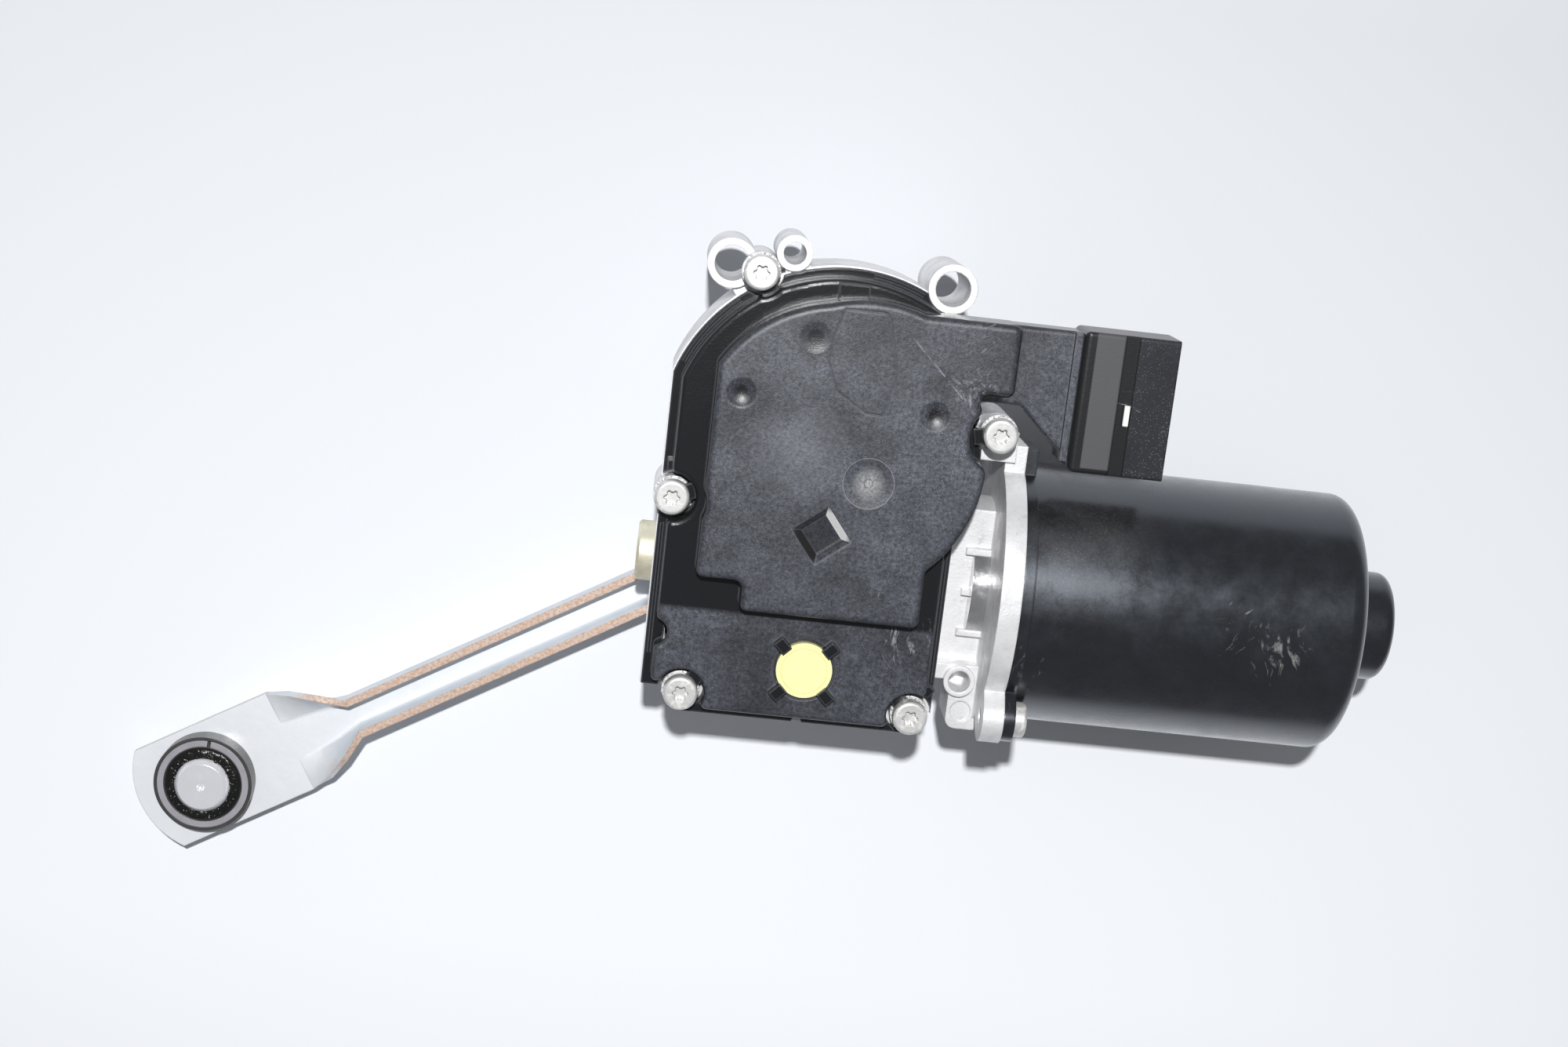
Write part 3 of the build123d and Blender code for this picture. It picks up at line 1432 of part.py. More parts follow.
with BuildPart() as grease_seal:
    with BuildSketch(Plane((crank_eye_x, crank_eye_y, crank_hub_z + crank_rise))):
        Circle(seal_top_r)
        Circle(seal_top_r - boot_wall, mode=Mode.SUBTRACT)
    with BuildSketch(Plane((crank_eye_x, crank_eye_y, liner_top_z + boot_gap))):
        Circle(seal_low_r)
        Circle(seal_low_r - boot_wall, mode=Mode.SUBTRACT)
    loft()
grease_seal.part.label = "grease_seal"
export_step(grease_seal.part, "parts/grease_seal.step")

# ---------------------------------------------------------------- electronics
board_top_z = board_z + board_t
board_inset = cover_wall + board_margin
pin_y = (shoulder_r / 2 + deck_top_y - cover_wall) / 2
connector_low_z = parting_z + connector_low_rise
connector_high_z = parting_z + connector_high_rise

with BuildPart() as circuit_board:
    with BuildSketch(Plane.XY.offset(board_z)):
        add(deck_outline(-board_inset))
        add(rim_outline(-low_deck_step - board_inset), mode=Mode.INTERSECT)
    extrude(amount=board_t)
circuit_board.part.label = "circuit_board"
export_step(circuit_board.part, "parts/circuit_board.step")

with BuildPart() as board_components:
    for centre_x, centre_y, size_x, size_y, size_z in chip_boxes:
        with BuildSketch(Plane((centre_x, centre_y, board_top_z))):
            Rectangle(size_x, size_y)
        extrude(amount=size_z)
    with BuildSketch(Plane.XY.offset(board_top_z)):
        with Locations(capacitor_xy):
            Circle(capacitor_r)
    extrude(amount=capacitor_h)
    with BuildSketch(Plane.XY.offset(board_z)):
        Rectangle(hall_size, hall_size)
    extrude(amount=-hall_t)
board_components.part.label = "board_components"
export_step(board_components.part, "parts/board_components.step")

with BuildPart() as noise_chokes:
    for offset_x in (-choke_pitch / 2, choke_pitch / 2):
        choke_centre = (offset_x, (well_top_y + block_bottom_y + well_margin) / 2,
                        well_floor_z + choke_r)
        with BuildSketch(Plane(origin=choke_centre, x_dir=(0, 1, 0), z_dir=(1, 0, 0))):
            Circle(choke_r)
        extrude(amount=choke_length / 2, both=True)
        with BuildSketch(Plane(origin=choke_centre, x_dir=(0, 1, 0), z_dir=(1, 0, 0))):
            Circle(choke_core_r)
        extrude(amount=choke_length / 2 + choke_core_r, both=True)
noise_chokes.part.label = "noise_chokes"
export_step(noise_chokes.part, "parts/noise_chokes.step")

pin_rows = [
    (parting_z + pin_low_rise, pin_root_x),
    (parting_z + pin_high_rise, pin_root_x - pin_row_step),
]
pin_end_x = connector_end_x - pin_setback

with BuildPart() as connector_pins:
    for row_z, root_x in pin_rows:
        with BuildSketch(Plane(origin=(0, pin_y, 0), x_dir=(1, 0, 0), z_dir=(0, -1, 0))):
            span(root_x, root_x + pin_w, board_top_z, row_z + pin_w)
            span(root_x, pin_end_x, row_z, row_z + pin_w)
        bent_pin = extrude(amount=pin_w / 2, both=True, mode=Mode.PRIVATE)
        with GridLocations(0, pin_pitch, 1, pin_count):
            add(bent_pin)
connector_pins.part.label = "connector_pins"
export_step(connector_pins.part, "parts/connector_pins.step")

connector_face = Plane(origin=(connector_x, 0, 0), x_dir=(0, 1, 0), z_dir=(1, 0, 0))

with BuildPart() as connector_shroud:
    with BuildSketch(connector_face):
        span(connector_low_y, connector_high_y, connector_low_z, connector_high_z)
    extrude(amount=connector_end_x - connector_x)
    fillet(connector_shroud.edges().filter_by(Axis.X), connector_edge)
    fillet(connector_shroud.faces().sort_by(Axis.X)[0].edges(), connector_round)
    with BuildSketch(connector_face):
        span(
            spigot_low_y,
            deck_top_y - cover_wall - spigot_gap,
            arm_under_z + cover_wall + spigot_gap,
            arm_top_z - cover_wall - spigot_gap,
        )
    extrude(amount=-spigot_l)
    with BuildSketch(connector_face.offset(connector_end_x - connector_x)):
        span(
            connector_low_y + connector_wall,
            connector_high_y - connector_wall,
            connector_low_z + connector_wall,
            connector_high_z - connector_wall,
        )
    extrude(amount=connector_floor + connector_x - connector_end_x, mode=Mode.SUBTRACT)
    with BuildSketch(Plane(origin=(pin_end_x, pin_y, 0), x_dir=(0, 1, 0), z_dir=(1, 0, 0))):
        with GridLocations(pin_pitch, 0, pin_count, 1):
            for row_z, root_x in pin_rows:
                with Locations((0, row_z + pin_w / 2)):
                    Rectangle(pin_w, pin_w)
    extrude(amount=connector_x - spigot_l - pin_end_x, mode=Mode.SUBTRACT)
    with BuildSketch(Plane.XY.offset(connector_high_z)):
        span(band_start_x, band_end_x, connector_low_y, connector_high_y)
    extrude(amount=-band_t, mode=Mode.SUBTRACT)
    with BuildSketch(Plane.XY.offset(connector_high_z)):
        span(latch_x - latch_t / 2, latch_x + latch_t / 2, latch_y - latch_w / 2,
             latch_y + latch_w / 2)
    extrude(amount=-2 * connector_wall, mode=Mode.SUBTRACT)
connector_shroud.part.label = "connector_shroud"
export_step(connector_shroud.part, "parts/connector_shroud.step")
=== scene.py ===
# %% [markdown]
# # A used wiper motor, dressed for its picture
# A wiper motor is a permanent-magnet motor with a worm gear in an aluminium case. A black
# moulded cover closes the case, and a crank and a folded link rod carry the motion away.
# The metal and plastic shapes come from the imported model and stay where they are. This
# lesson gives every surface its finish, adds the small things that are too fine for the
# model, and sets up the floor, the light and the camera.

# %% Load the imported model
import json
import math

import bmesh
import bpy
from mathutils import Matrix, Vector


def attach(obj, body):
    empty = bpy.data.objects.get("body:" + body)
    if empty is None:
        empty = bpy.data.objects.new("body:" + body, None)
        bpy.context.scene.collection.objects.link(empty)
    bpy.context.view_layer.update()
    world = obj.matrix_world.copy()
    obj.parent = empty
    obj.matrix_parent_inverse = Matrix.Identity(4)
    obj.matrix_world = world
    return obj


MM = 0.001

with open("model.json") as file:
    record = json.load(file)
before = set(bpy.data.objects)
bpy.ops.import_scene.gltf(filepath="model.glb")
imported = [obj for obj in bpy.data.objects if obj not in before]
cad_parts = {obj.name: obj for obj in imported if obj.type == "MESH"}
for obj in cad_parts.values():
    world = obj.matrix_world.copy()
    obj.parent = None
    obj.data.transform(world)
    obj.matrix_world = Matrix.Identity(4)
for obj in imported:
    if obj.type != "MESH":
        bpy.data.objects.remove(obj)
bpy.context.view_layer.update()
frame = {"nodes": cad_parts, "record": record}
nodes = frame["nodes"]

# %% [markdown]
# ## The camera
# The picture is taken from about half a metre above the part with a 50 mm lens on a full
# frame sensor. A camera can be turned by three angles, but angles are hard to read. Here
# its place, the direction it looks in and the direction that is up in the picture say the
# same.

# %% Camera
LENS = 50.0
SENSOR = 36.0
CAMERA_PLACE = Vector((-39.64, 77.06, 550.37)) * MM
CAMERA_FORWARD = Vector((0.0584, -0.1889, -0.9803))
CAMERA_UP = Vector((-0.1048, 0.9753, -0.1942))


def make_camera():
    """The scene's camera, from its place and two directions."""
    data = bpy.data.cameras.new("camera")
    data.lens = LENS
    data.sensor_width = SENSOR
    camera = bpy.data.objects.new("camera", data)
    back = -CAMERA_FORWARD.normalized()
    right = CAMERA_UP.cross(back).normalized()
    up = back.cross(right)
    turn = Matrix((right, up, back)).transposed().to_4x4()
    camera.matrix_world = Matrix.Translation(CAMERA_PLACE) @ turn
    bpy.context.scene.collection.objects.link(camera)
    bpy.context.scene.camera = camera
    return camera


camera = make_camera()
print("camera height above the floor in mm:", round(camera.location.z / MM))

# %% [markdown]
# ## Small helpers for shader trees
# A material is a tree of nodes. Adding a node, setting its values and linking its inputs
# takes three lines each time, so one helper does it: a value that is itself a socket gets
# a link, and anything else is set on the input directly. The helpers after it stand for
# the few nodes that come back in every finish.


# %% Node helper
def feed(tree, socket, value):
    """Links a value that is a socket, and sets any other value on the socket."""
    if isinstance(value, bpy.types.NodeSocket):
        tree.links.new(value, socket)
    else:
        socket.default_value = value


def feed_named(tree, sockets, values):
    """Feeds several sockets by name; underscores in a name stand for spaces."""
    for name, value in values.items():
        feed(tree, sockets[name.replace("_", " ")], value)


def add_node(tree, kind, inputs=None, **settings):
    """One node in a tree, with its settings and its inputs set or linked."""
    made = tree.nodes.new(kind)
    for name, value in settings.items():
        setattr(made, name, value)
    for name, value in (inputs or {}).items():
        feed(tree, made.inputs[name], value)
    return made


# %% Numbers and masks
def maths(tree, operation, first, second=0.0, clamp=False):
    """The result of one Math node."""
    made = add_node(tree, "ShaderNodeMath", {0: first, 1: second}, operation=operation)
    made.use_clamp = clamp
    return made.outputs[0]


def vector_maths(tree, operation, first, second):
    """One Vector Math node of two vectors."""
    return add_node(tree, "ShaderNodeVectorMath", {0: first, 1: second}, operation=operation)


def product(tree, *values):
    """Masks and strengths multiplied together."""
    total = values[0]
    for value in values[1:]:
        total = maths(tree, "MULTIPLY", total, value)
    return total


def add_masks(tree, *masks):
    """Masks laid over each other, held below 1."""
    total = masks[0]
    for mask in masks[1:]:
        total = maths(tree, "ADD", total, mask, clamp=True)
    return total


def ramp(tree, value, low, high, to_low=0.0, to_high=1.0):
    """A value stretched from one range to another and held inside it."""
    made = add_node(
        tree,
        "ShaderNodeMapRange",
        {"Value": value, "From Min": low, "From Max": high, "To Min": to_low, "To Max": to_high},
    )
    return made.outputs["Result"]


# %% Noise, colours and the surface's own directions
MIX_MASK, MIX_FIRST, MIX_SECOND, MIX_RESULT = 0, 6, 7, 2


def noise(tree, place, scale, detail=3.0, roughness=0.55):
    """A grey noise value at a place. The scale is in swells per metre: 1000 is one per mm."""
    made = add_node(
        tree,
        "ShaderNodeTexNoise",
        {"Vector": place, "Scale": scale, "Detail": detail, "Roughness": roughness},
    )
    return made.outputs["Fac"]


def mix(tree, mask, first, second):
    """Two colours mixed by a mask."""
    made = add_node(
        tree,
        "ShaderNodeMix",
        {MIX_MASK: mask, MIX_FIRST: first, MIX_SECOND: second},
        data_type="RGBA",
    )
    return made.outputs[MIX_RESULT]


def grey(value):
    """A neutral colour."""
    return (value, value, value, 1.0)


def own_place(tree):
    """Where a point of the piece is, in metres."""
    return add_node(tree, "ShaderNodeTexCoord").outputs["Object"]


def own_normal(tree):
    """Which way the piece's surface faces."""
    return add_node(tree, "ShaderNodeTexCoord").outputs["Normal"]


# %% [markdown]
# ## Effects that several finishes share
# Real edges are never razor sharp, dust settles on what faces up, and handling leaves
# scratches. Each of these is a node group, built once, with named inputs. Groups give out
# only masks and normals; the shader itself stays in each material.


# %% Group frame
FLOAT = "NodeSocketFloat"
VECTOR = "NodeSocketVector"


def start_group(name, inputs, outputs):
    """An empty node group with named float or vector inputs and outputs."""
    group = bpy.data.node_groups.new(name, "ShaderNodeTree")
    for label, kind, value in inputs:
        socket = group.interface.new_socket(label, in_out="INPUT", socket_type=kind)
        socket.default_value = value
    for label, kind in outputs:
        group.interface.new_socket(label, in_out="OUTPUT", socket_type=kind)
    source = group.nodes.new("NodeGroupInput")
    target = group.nodes.new("NodeGroupOutput")
    return group, source.outputs, target.inputs


# %% Rounded edges, an edge mask for wear and for painted highlights, and fine grain
# An edge is where the rounded normal and the face's own normal part: the cosine between
# them at which the mask starts, and the one at which it is full.
EDGE_STARTS = 0.995
EDGE_FULL = 0.85
EDGE_SAMPLES = 4


def build_surface_group():
    """Rounded edges, a fine grain in the normal, and a mask that is bright along the edges."""
    group, given, result = start_group(
        "surface",
        [("Edge Radius", FLOAT, 0.0003), ("Grain Scale", FLOAT, 2500.0),
         ("Grain Depth", FLOAT, 0.00002), ("Swell Scale", FLOAT, 60.0),
         ("Swell Depth", FLOAT, 0.0)],
        [("Normal", VECTOR), ("Edge", FLOAT), ("Grain", FLOAT)],
    )
    place = own_place(group)
    rounded = add_node(
        group, "ShaderNodeBevel", {"Radius": given["Edge Radius"]}, samples=EDGE_SAMPLES
    )
    face = add_node(group, "ShaderNodeNewGeometry").outputs["Normal"]
    agree = vector_maths(group, "DOT_PRODUCT", rounded.outputs[0], face).outputs["Value"]
    grain = noise(group, place, given["Grain Scale"], 2.0)
    swell = noise(group, place, given["Swell Scale"], 2.0)
    fine = product(group, grain, given["Grain Depth"])
    broad = product(group, swell, given["Swell Depth"])
    bump = add_node(
        group,
        "ShaderNodeBump",
        {"Height": maths(group, "ADD", fine, broad), "Normal": rounded.outputs[0],
         "Distance": 1.0, "Strength": 1.0},
    )
    group.links.new(bump.outputs[0], result["Normal"])
    group.links.new(ramp(group, agree, EDGE_STARTS, EDGE_FULL), result["Edge"])
    group.links.new(grain, result["Grain"])
    return group


# %% Settled dust
# Dust starts to lie on a surface that faces up by the first share, and lies fully by the
# second. Where the patches pass the cover value it sets in, over the width given.
UP_STARTS = 0.35
UP_FULL = 0.95
BARE_LEVEL = 1.25
COVER_SOFTNESS = 0.30


def build_dust_group():
    """Dust on what faces up, thicker in patches, with a few bright specks."""
    group, given, result = start_group(
        "dust",
        [("Patch Scale", FLOAT, 40.0), ("Cover", FLOAT, 0.5), ("Speck Scale", FLOAT, 900.0),
         ("Speck Share", FLOAT, 0.1)],
        [("Mask", FLOAT), ("Specks", FLOAT)],
    )
    place = own_place(group)
    facing = add_node(group, "ShaderNodeSeparateXYZ", {0: own_normal(group)})
    upward = ramp(group, facing.outputs["Z"], UP_STARTS, UP_FULL)
    patches = noise(group, place, given["Patch Scale"], 5.0, 0.65)
    fine = noise(group, place, given["Speck Scale"], 3.0, 0.7)
    uneven = maths(group, "ADD", patches, product(group, fine, 0.5))
    bare = maths(group, "SUBTRACT", BARE_LEVEL, given["Cover"])
    above = maths(group, "SUBTRACT", uneven, bare)
    cover = ramp(group, above, -COVER_SOFTNESS, COVER_SOFTNESS)
    cell = add_node(
        group, "ShaderNodeTexVoronoi", {"Vector": place, "Scale": given["Speck Scale"]}
    ).outputs["Distance"]
    picked = noise(group, place, given["Patch Scale"], 2.0)
    speck = maths(group, "LESS_THAN", cell, product(group, given["Speck Share"], picked))
    group.links.new(product(group, cover, upward), result["Mask"])
    group.links.new(product(group, speck, upward), result["Specks"])
    return group


# %% Scratches in one place
# A scratch is noise that is drawn out along one axis. A broad noise sways it first, by the
# distance given in metres, so that no two scratches lie quite alike.
SWAY_SCALE = 90.0
SWAY = (0.012, 0.012, 0.012)
DRAWN_OUT = (0.06, 1.0, 0.3)
BREAK_SCALE = 330.0
NO_SCRATCH_LEVEL = 0.72
SCRATCH_SOFTNESS = 0.09


def build_scratch_group():
    """Fine scratches that run one way, inside a soft round patch."""
    group, given, result = start_group(
        "scratches",
        [("Centre", VECTOR, (0.0, 0.0, 0.0)), ("Reach", FLOAT, 0.01), ("Turn", FLOAT, 0.0),
         ("Fineness", FLOAT, 1500.0), ("Share", FLOAT, 0.3)],
        [("Mask", FLOAT)],
    )
    place = own_place(group)
    offset = vector_maths(group, "SUBTRACT", place, given["Centre"]).outputs[0]
    turned = add_node(
        group, "ShaderNodeVectorRotate", {"Vector": offset, "Angle": given["Turn"]},
        rotation_type="Z_AXIS",
    ).outputs[0]
    bend = add_node(
        group, "ShaderNodeTexNoise", {"Vector": place, "Scale": SWAY_SCALE, "Detail": 2.0}
    ).outputs["Color"]
    swayed = add_node(
        group, "ShaderNodeVectorMath", {0: bend, 1: SWAY, 2: turned}, operation="MULTIPLY_ADD"
    ).outputs[0]
    drawn = vector_maths(group, "MULTIPLY", swayed, DRAWN_OUT).outputs[0]
    lines = noise(group, drawn, given["Fineness"], 3.0, 0.6)
    breaks = noise(group, place, BREAK_SCALE, 4.0, 0.65)
    away = add_node(
        group, "ShaderNodeVectorMath", {0: offset}, operation="LENGTH"
    ).outputs["Value"]
    near = ramp(group, maths(group, "DIVIDE", away, given["Reach"]), 1.0, 0.25)
    limit = maths(group, "SUBTRACT", NO_SCRATCH_LEVEL, product(group, given["Share"], near))
    cut = ramp(group, maths(group, "SUBTRACT", lines, limit), 0.0, SCRATCH_SOFTNESS)
    kept = ramp(group, breaks, 0.47, 0.62)
    mask = maths(group, "MULTIPLY", product(group, cut, kept), near, clamp=True)
    group.links.new(mask, result["Mask"])
    return group


surface_group = build_surface_group()
dust_group = build_dust_group()
scratch_group = build_scratch_group()
print("shared effects:", [g.name for g in bpy.data.node_groups])


# %% Using a group
def use_group(tree, group, **values):
    """A shared effect placed in a material, with its own values."""
    made = tree.nodes.new("ShaderNodeGroup")
    made.node_tree = group
    feed_named(tree, made.inputs, values)
    return made.outputs


def scratches(tree, places):
    """Scratch masks: centre and reach in millimetres, turn, fineness and share of each."""
    return [
        use_group(tree, scratch_group, Centre=Vector(centre) * MM, Reach=reach * MM, Turn=turn,
                  Fineness=fineness, Share=share)["Mask"]
        for centre, reach, turn, fineness, share in places
    ]


def start_material(name):
    """An empty material with its tree, its Principled shader and its Object coordinates."""
    material = bpy.data.materials.new(name)
    material.use_nodes = True
    tree = material.node_tree
    tree.nodes.clear()
    shader = add_node(tree, "ShaderNodeBsdfPrincipled")
    add_node(tree, "ShaderNodeOutputMaterial", {"Surface": shader.outputs[0]})
    return material, tree, shader, own_place(tree)


def wire(tree, shader, **values):
    """Sets or links the shader's inputs."""
    feed_named(tree, shader.inputs, values)


# %% Masks by place
ANYWHERE = (None, None, None)


def region(tree, place, low, high, soft):
    """A mask that is 1 inside a box given in millimetres, with soft sides."""
    axes = add_node(tree, "ShaderNodeSeparateXYZ", {0: place}).outputs
    mask = 1.0
    for axis, least, most in zip(axes, low, high):
        if least is not None:
            rise = ramp(tree, axis, (least - soft) * MM, (least + soft) * MM)
            mask = product(tree, rise, mask)
        if most is not None:
            fall = ramp(tree, axis, (most + soft) * MM, (most - soft) * MM)
            mask = product(tree, fall, mask)
    return mask


def spot(tree, place, centre, reach, sharp=0.3):
    """A round mask about one point, both in millimetres, full inside a share of its reach."""
    away = vector_maths(tree, "DISTANCE", place, Vector(centre) * MM).outputs["Value"]
    return ramp(tree, away, reach * MM, reach * sharp * MM)


# %% [markdown]
# ## Cast aluminium
# The gear case is die cast: bright, slightly grainy, with dull oxide in patches and fresher
# metal on the edges. A partly metallic shader with a rough, uneven surface gives that; a
# bump of two sizes stands for the cast skin.


# %% Cast aluminium
def cast_aluminium():
    """Bright die-cast skin with dull oxide patches, small dark stains and fresh edges."""
    fresh, oxidised, stained = (0.80, 0.80, 0.81, 1), (0.60, 0.60, 0.61, 1), (0.34, 0.32, 0.30, 1)
    material, tree, shader, place = start_material("cast_aluminium")
    skin = use_group(tree, surface_group, Edge_Radius=0.0005, Grain_Scale=1800.0,
                     Grain_Depth=0.00005, Swell_Scale=120.0, Swell_Depth=0.0002)
    oxide = ramp(tree, noise(tree, place, 90.0, 6.0, 0.7), 0.42, 0.66)
    stain = ramp(tree, noise(tree, place, 320.0, 4.0, 0.6), 0.60, 0.74)
    colour = mix(tree, oxide, fresh, oxidised)
    colour = mix(tree, product(tree, stain, 0.40), colour, stained)
    colour = mix(tree, product(tree, skin["Edge"], 0.4), colour, grey(0.95))
    wire(tree, shader, Base_Color=colour, Metallic=0.30,
         Roughness=ramp(tree, oxide, 0.0, 1.0, 0.36, 0.55), Normal=skin["Normal"])
    return material


# %% [markdown]
# ## Black moulded cover
# The cover is glass-filled nylon. Its raised deck is dusty and looks blue grey, while the
# steep sides and the rim stay deep black and glossy. The dust mask decides where the grey
# lies: masks by place keep it on the deck, the connector arm and the low ledge, where it also
# stands for painted sheen, and take it away, as painted shade, in a shallow hollow and at the
# bottom of the dimples.


# %% Where the cover is dusty
DECK_TOP = 61.0
DECK_FROM = (None, None, DECK_TOP - 1.2)
ARM_FROM = (36, None, 57)
LEDGE_FROM, LEDGE_TO = (None, None, 53), (None, -41, 55)
DIMPLES = ((-23.5, 11.8), (20.9, 11.1), (-8.2, 26.0))
DIMPLE_DEPTH = 0.9
DIMPLE_REACH = 2.3
# A darker spot on the deck, where the dust is thinned, is painted shade for a shallow hollow.
SHADED_HOLLOW = (-8.2, 26.0, DECK_TOP)
SHADED_HOLLOW_REACH = 6.5


def dusty_places(tree, place):
    """The raised deck, the connector arm and the low ledge, strongest on the deck."""
    deck = region(tree, place, DECK_FROM, ANYWHERE, 0.5)
    arm = region(tree, place, ARM_FROM, ANYWHERE, 0.8)
    # On the low ledge the grey is dust and also painted sheen, standing for the glossy ledge's
    # highlights.
    ledge = region(tree, place, LEDGE_FROM, LEDGE_TO, 0.6)
    return add_masks(tree, deck, product(tree, arm, 0.9), product(tree, ledge, 0.85))


def dust_with_painted_shade(tree, place, dust, where):
    """Dust that lies in clouds, with less of it, as painted shade, in a shallow hollow and in the
    dimples.
    """
    clouds = product(
        tree,
        ramp(tree, noise(tree, place, 75.0, 6.0, 0.72), 0.34, 0.66, 0.45, 1.0),
        ramp(tree, noise(tree, place, 1100.0, 4.0, 0.75), 0.36, 0.66, 0.35, 1.3),
    )
    # Less dust in the hollow and at the dimples' bottoms lets the black show: painted shade.
    hollow_shade = spot(tree, place, SHADED_HOLLOW, SHADED_HOLLOW_REACH, 0.4)
    bottom = DECK_TOP - DIMPLE_DEPTH
    dimples = [spot(tree, place, (x, y, bottom), DIMPLE_REACH, 0.5) for x, y in DIMPLES]
    bare = add_masks(tree, product(tree, hollow_shade, 0.55), *dimples)
    unshaded = maths(tree, "SUBTRACT", 1.0, bare)
    return product(tree, product(tree, dust, where), product(tree, clouds, unshaded))


# %% [markdown]
# Scuffs are drawn only in the few places where such a cover gets knocked: at the corner
# beside the connector, on the low ledge and along one long scratch. A mask each keeps them
# there, and a noise breaks them up.

# %% Where the cover is scuffed
COVER_SCRATCHES = (
    ((29.0, 17.0, 61.0), 9, 0.9, 900.0, 0.26),
    ((29.0, 30.0, 61.0), 10, -0.2, 1300.0, 0.18),
    ((21.0, -43.0, 54.0), 13, 1.3, 1100.0, 0.20),
    ((15.0, -31.0, 61.0), 6, 0.1, 1500.0, 0.20),
)
SCUFFED_CORNER = (30.0, 18.0, DECK_TOP)
CORNER_REACH = 7.0
LONG_SCRATCH = Vector((20.3, 22.0, 61.0))
LONG_SCRATCH_TURN = 0.77
LONG_SCRATCH_HALF = Vector((9.0, 0.12, 1.0))


def long_scratch(tree, place):
    """One straight broken scratch across the deck."""
    drawn = add_node(
        tree, "ShaderNodeVectorRotate",
        {"Vector": place, "Center": LONG_SCRATCH * MM, "Angle": LONG_SCRATCH_TURN},
        rotation_type="Z_AXIS",
    ).outputs[0]
    line = region(tree, drawn, LONG_SCRATCH - LONG_SCRATCH_HALF,
                  LONG_SCRATCH + LONG_SCRATCH_HALF, LONG_SCRATCH_HALF.y)
    broken = ramp(tree, noise(tree, place, 700.0, 3.0, 0.6), 0.40, 0.58)
    return product(tree, line, broken)


def cover_scuffs(tree, place):
    """Every scratch and scuff of the cover in one mask."""
    crumbled = ramp(tree, noise(tree, place, 900.0, 5.0, 0.75), 0.54, 0.66)
    corner = product(tree, spot(tree, place, SCUFFED_CORNER, CORNER_REACH, 0.1), crumbled)
    return add_masks(tree, *scratches(tree, COVER_SCRATCHES), long_scratch(tree, place), corner)


# %% [markdown]
# The plastic was shot in through one gate in the middle of the deck. A pale haze of dust stands
# round the gate, inside a fine ring; left of it a pale patch is painted sheen. Beside it lies a
# small recess with four slanted facets, of which one is painted pale as a highlight and the
# opposite one painted black as shade.

# %% Round the gate
GATE = (7.7, -6.0, 60.7)
GATE_BLOOM = 4.3
GATE_RING = 5.9
RING_STARTS, RING_FULL = 0.00016, 0.00005
# Left of the gate a pale patch is painted sheen, the lamp's light glancing off the deck.
SHEEN_PATCH = (-9.0, 0.0, DECK_TOP)
SHEEN_PATCH_REACH = 13.0
FACETS = (-1.6, -19.2, 60.4)
FACETS_REACH = 7.0
# One facet is painted pale as a highlight, the opposite one black as shade.
PAINTED_FACET_TONES = (((-0.8, -0.6, 0.0), grey(0.60)), ((0.8, 0.6, 0.0), grey(0.012)))


def gate_dust_and_sheen(tree, place, colour):
    """Pale dust round the gate mark, and a painted sheen left of it."""
    speckle = ramp(tree, noise(tree, place, 1500.0, 4.0, 0.7), 0.36, 0.62, 0.3, 1.0)
    glow = product(tree, spot(tree, place, GATE, GATE_BLOOM, 0.15), speckle)
    colour = mix(tree, product(tree, glow, 0.75), colour, grey(0.50))
    away = vector_maths(tree, "DISTANCE", place, Vector(GATE) * MM).outputs["Value"]
    off = maths(tree, "ABSOLUTE", maths(tree, "SUBTRACT", away, GATE_RING * MM))
    colour = mix(tree, ramp(tree, off, RING_STARTS, RING_FULL, 0.0, 0.35), colour, grey(0.35))
    # The pale patch left of the gate is painted sheen.
    painted_sheen = product(tree, spot(tree, place, SHEEN_PATCH, SHEEN_PATCH_REACH, 0.1), speckle)
    return mix(tree, product(tree, painted_sheen, 0.34), colour, (0.30, 0.31, 0.35, 1))


def paint_facet_light_and_shade(tree, place, colour):
    """Painted highlight on one facet of the small recess and painted shade on the opposite one,
    each picked by where it faces.
    """
    facing = own_normal(tree)
    near = spot(tree, place, FACETS, FACETS_REACH, 0.8)
    for direction, shade in PAINTED_FACET_TONES:
        turned = vector_maths(tree, "DOT_PRODUCT", facing, direction).outputs["Value"]
        colour = mix(tree, product(tree, near, ramp(tree, turned, 0.12, 0.20)), colour, shade)
    return colour


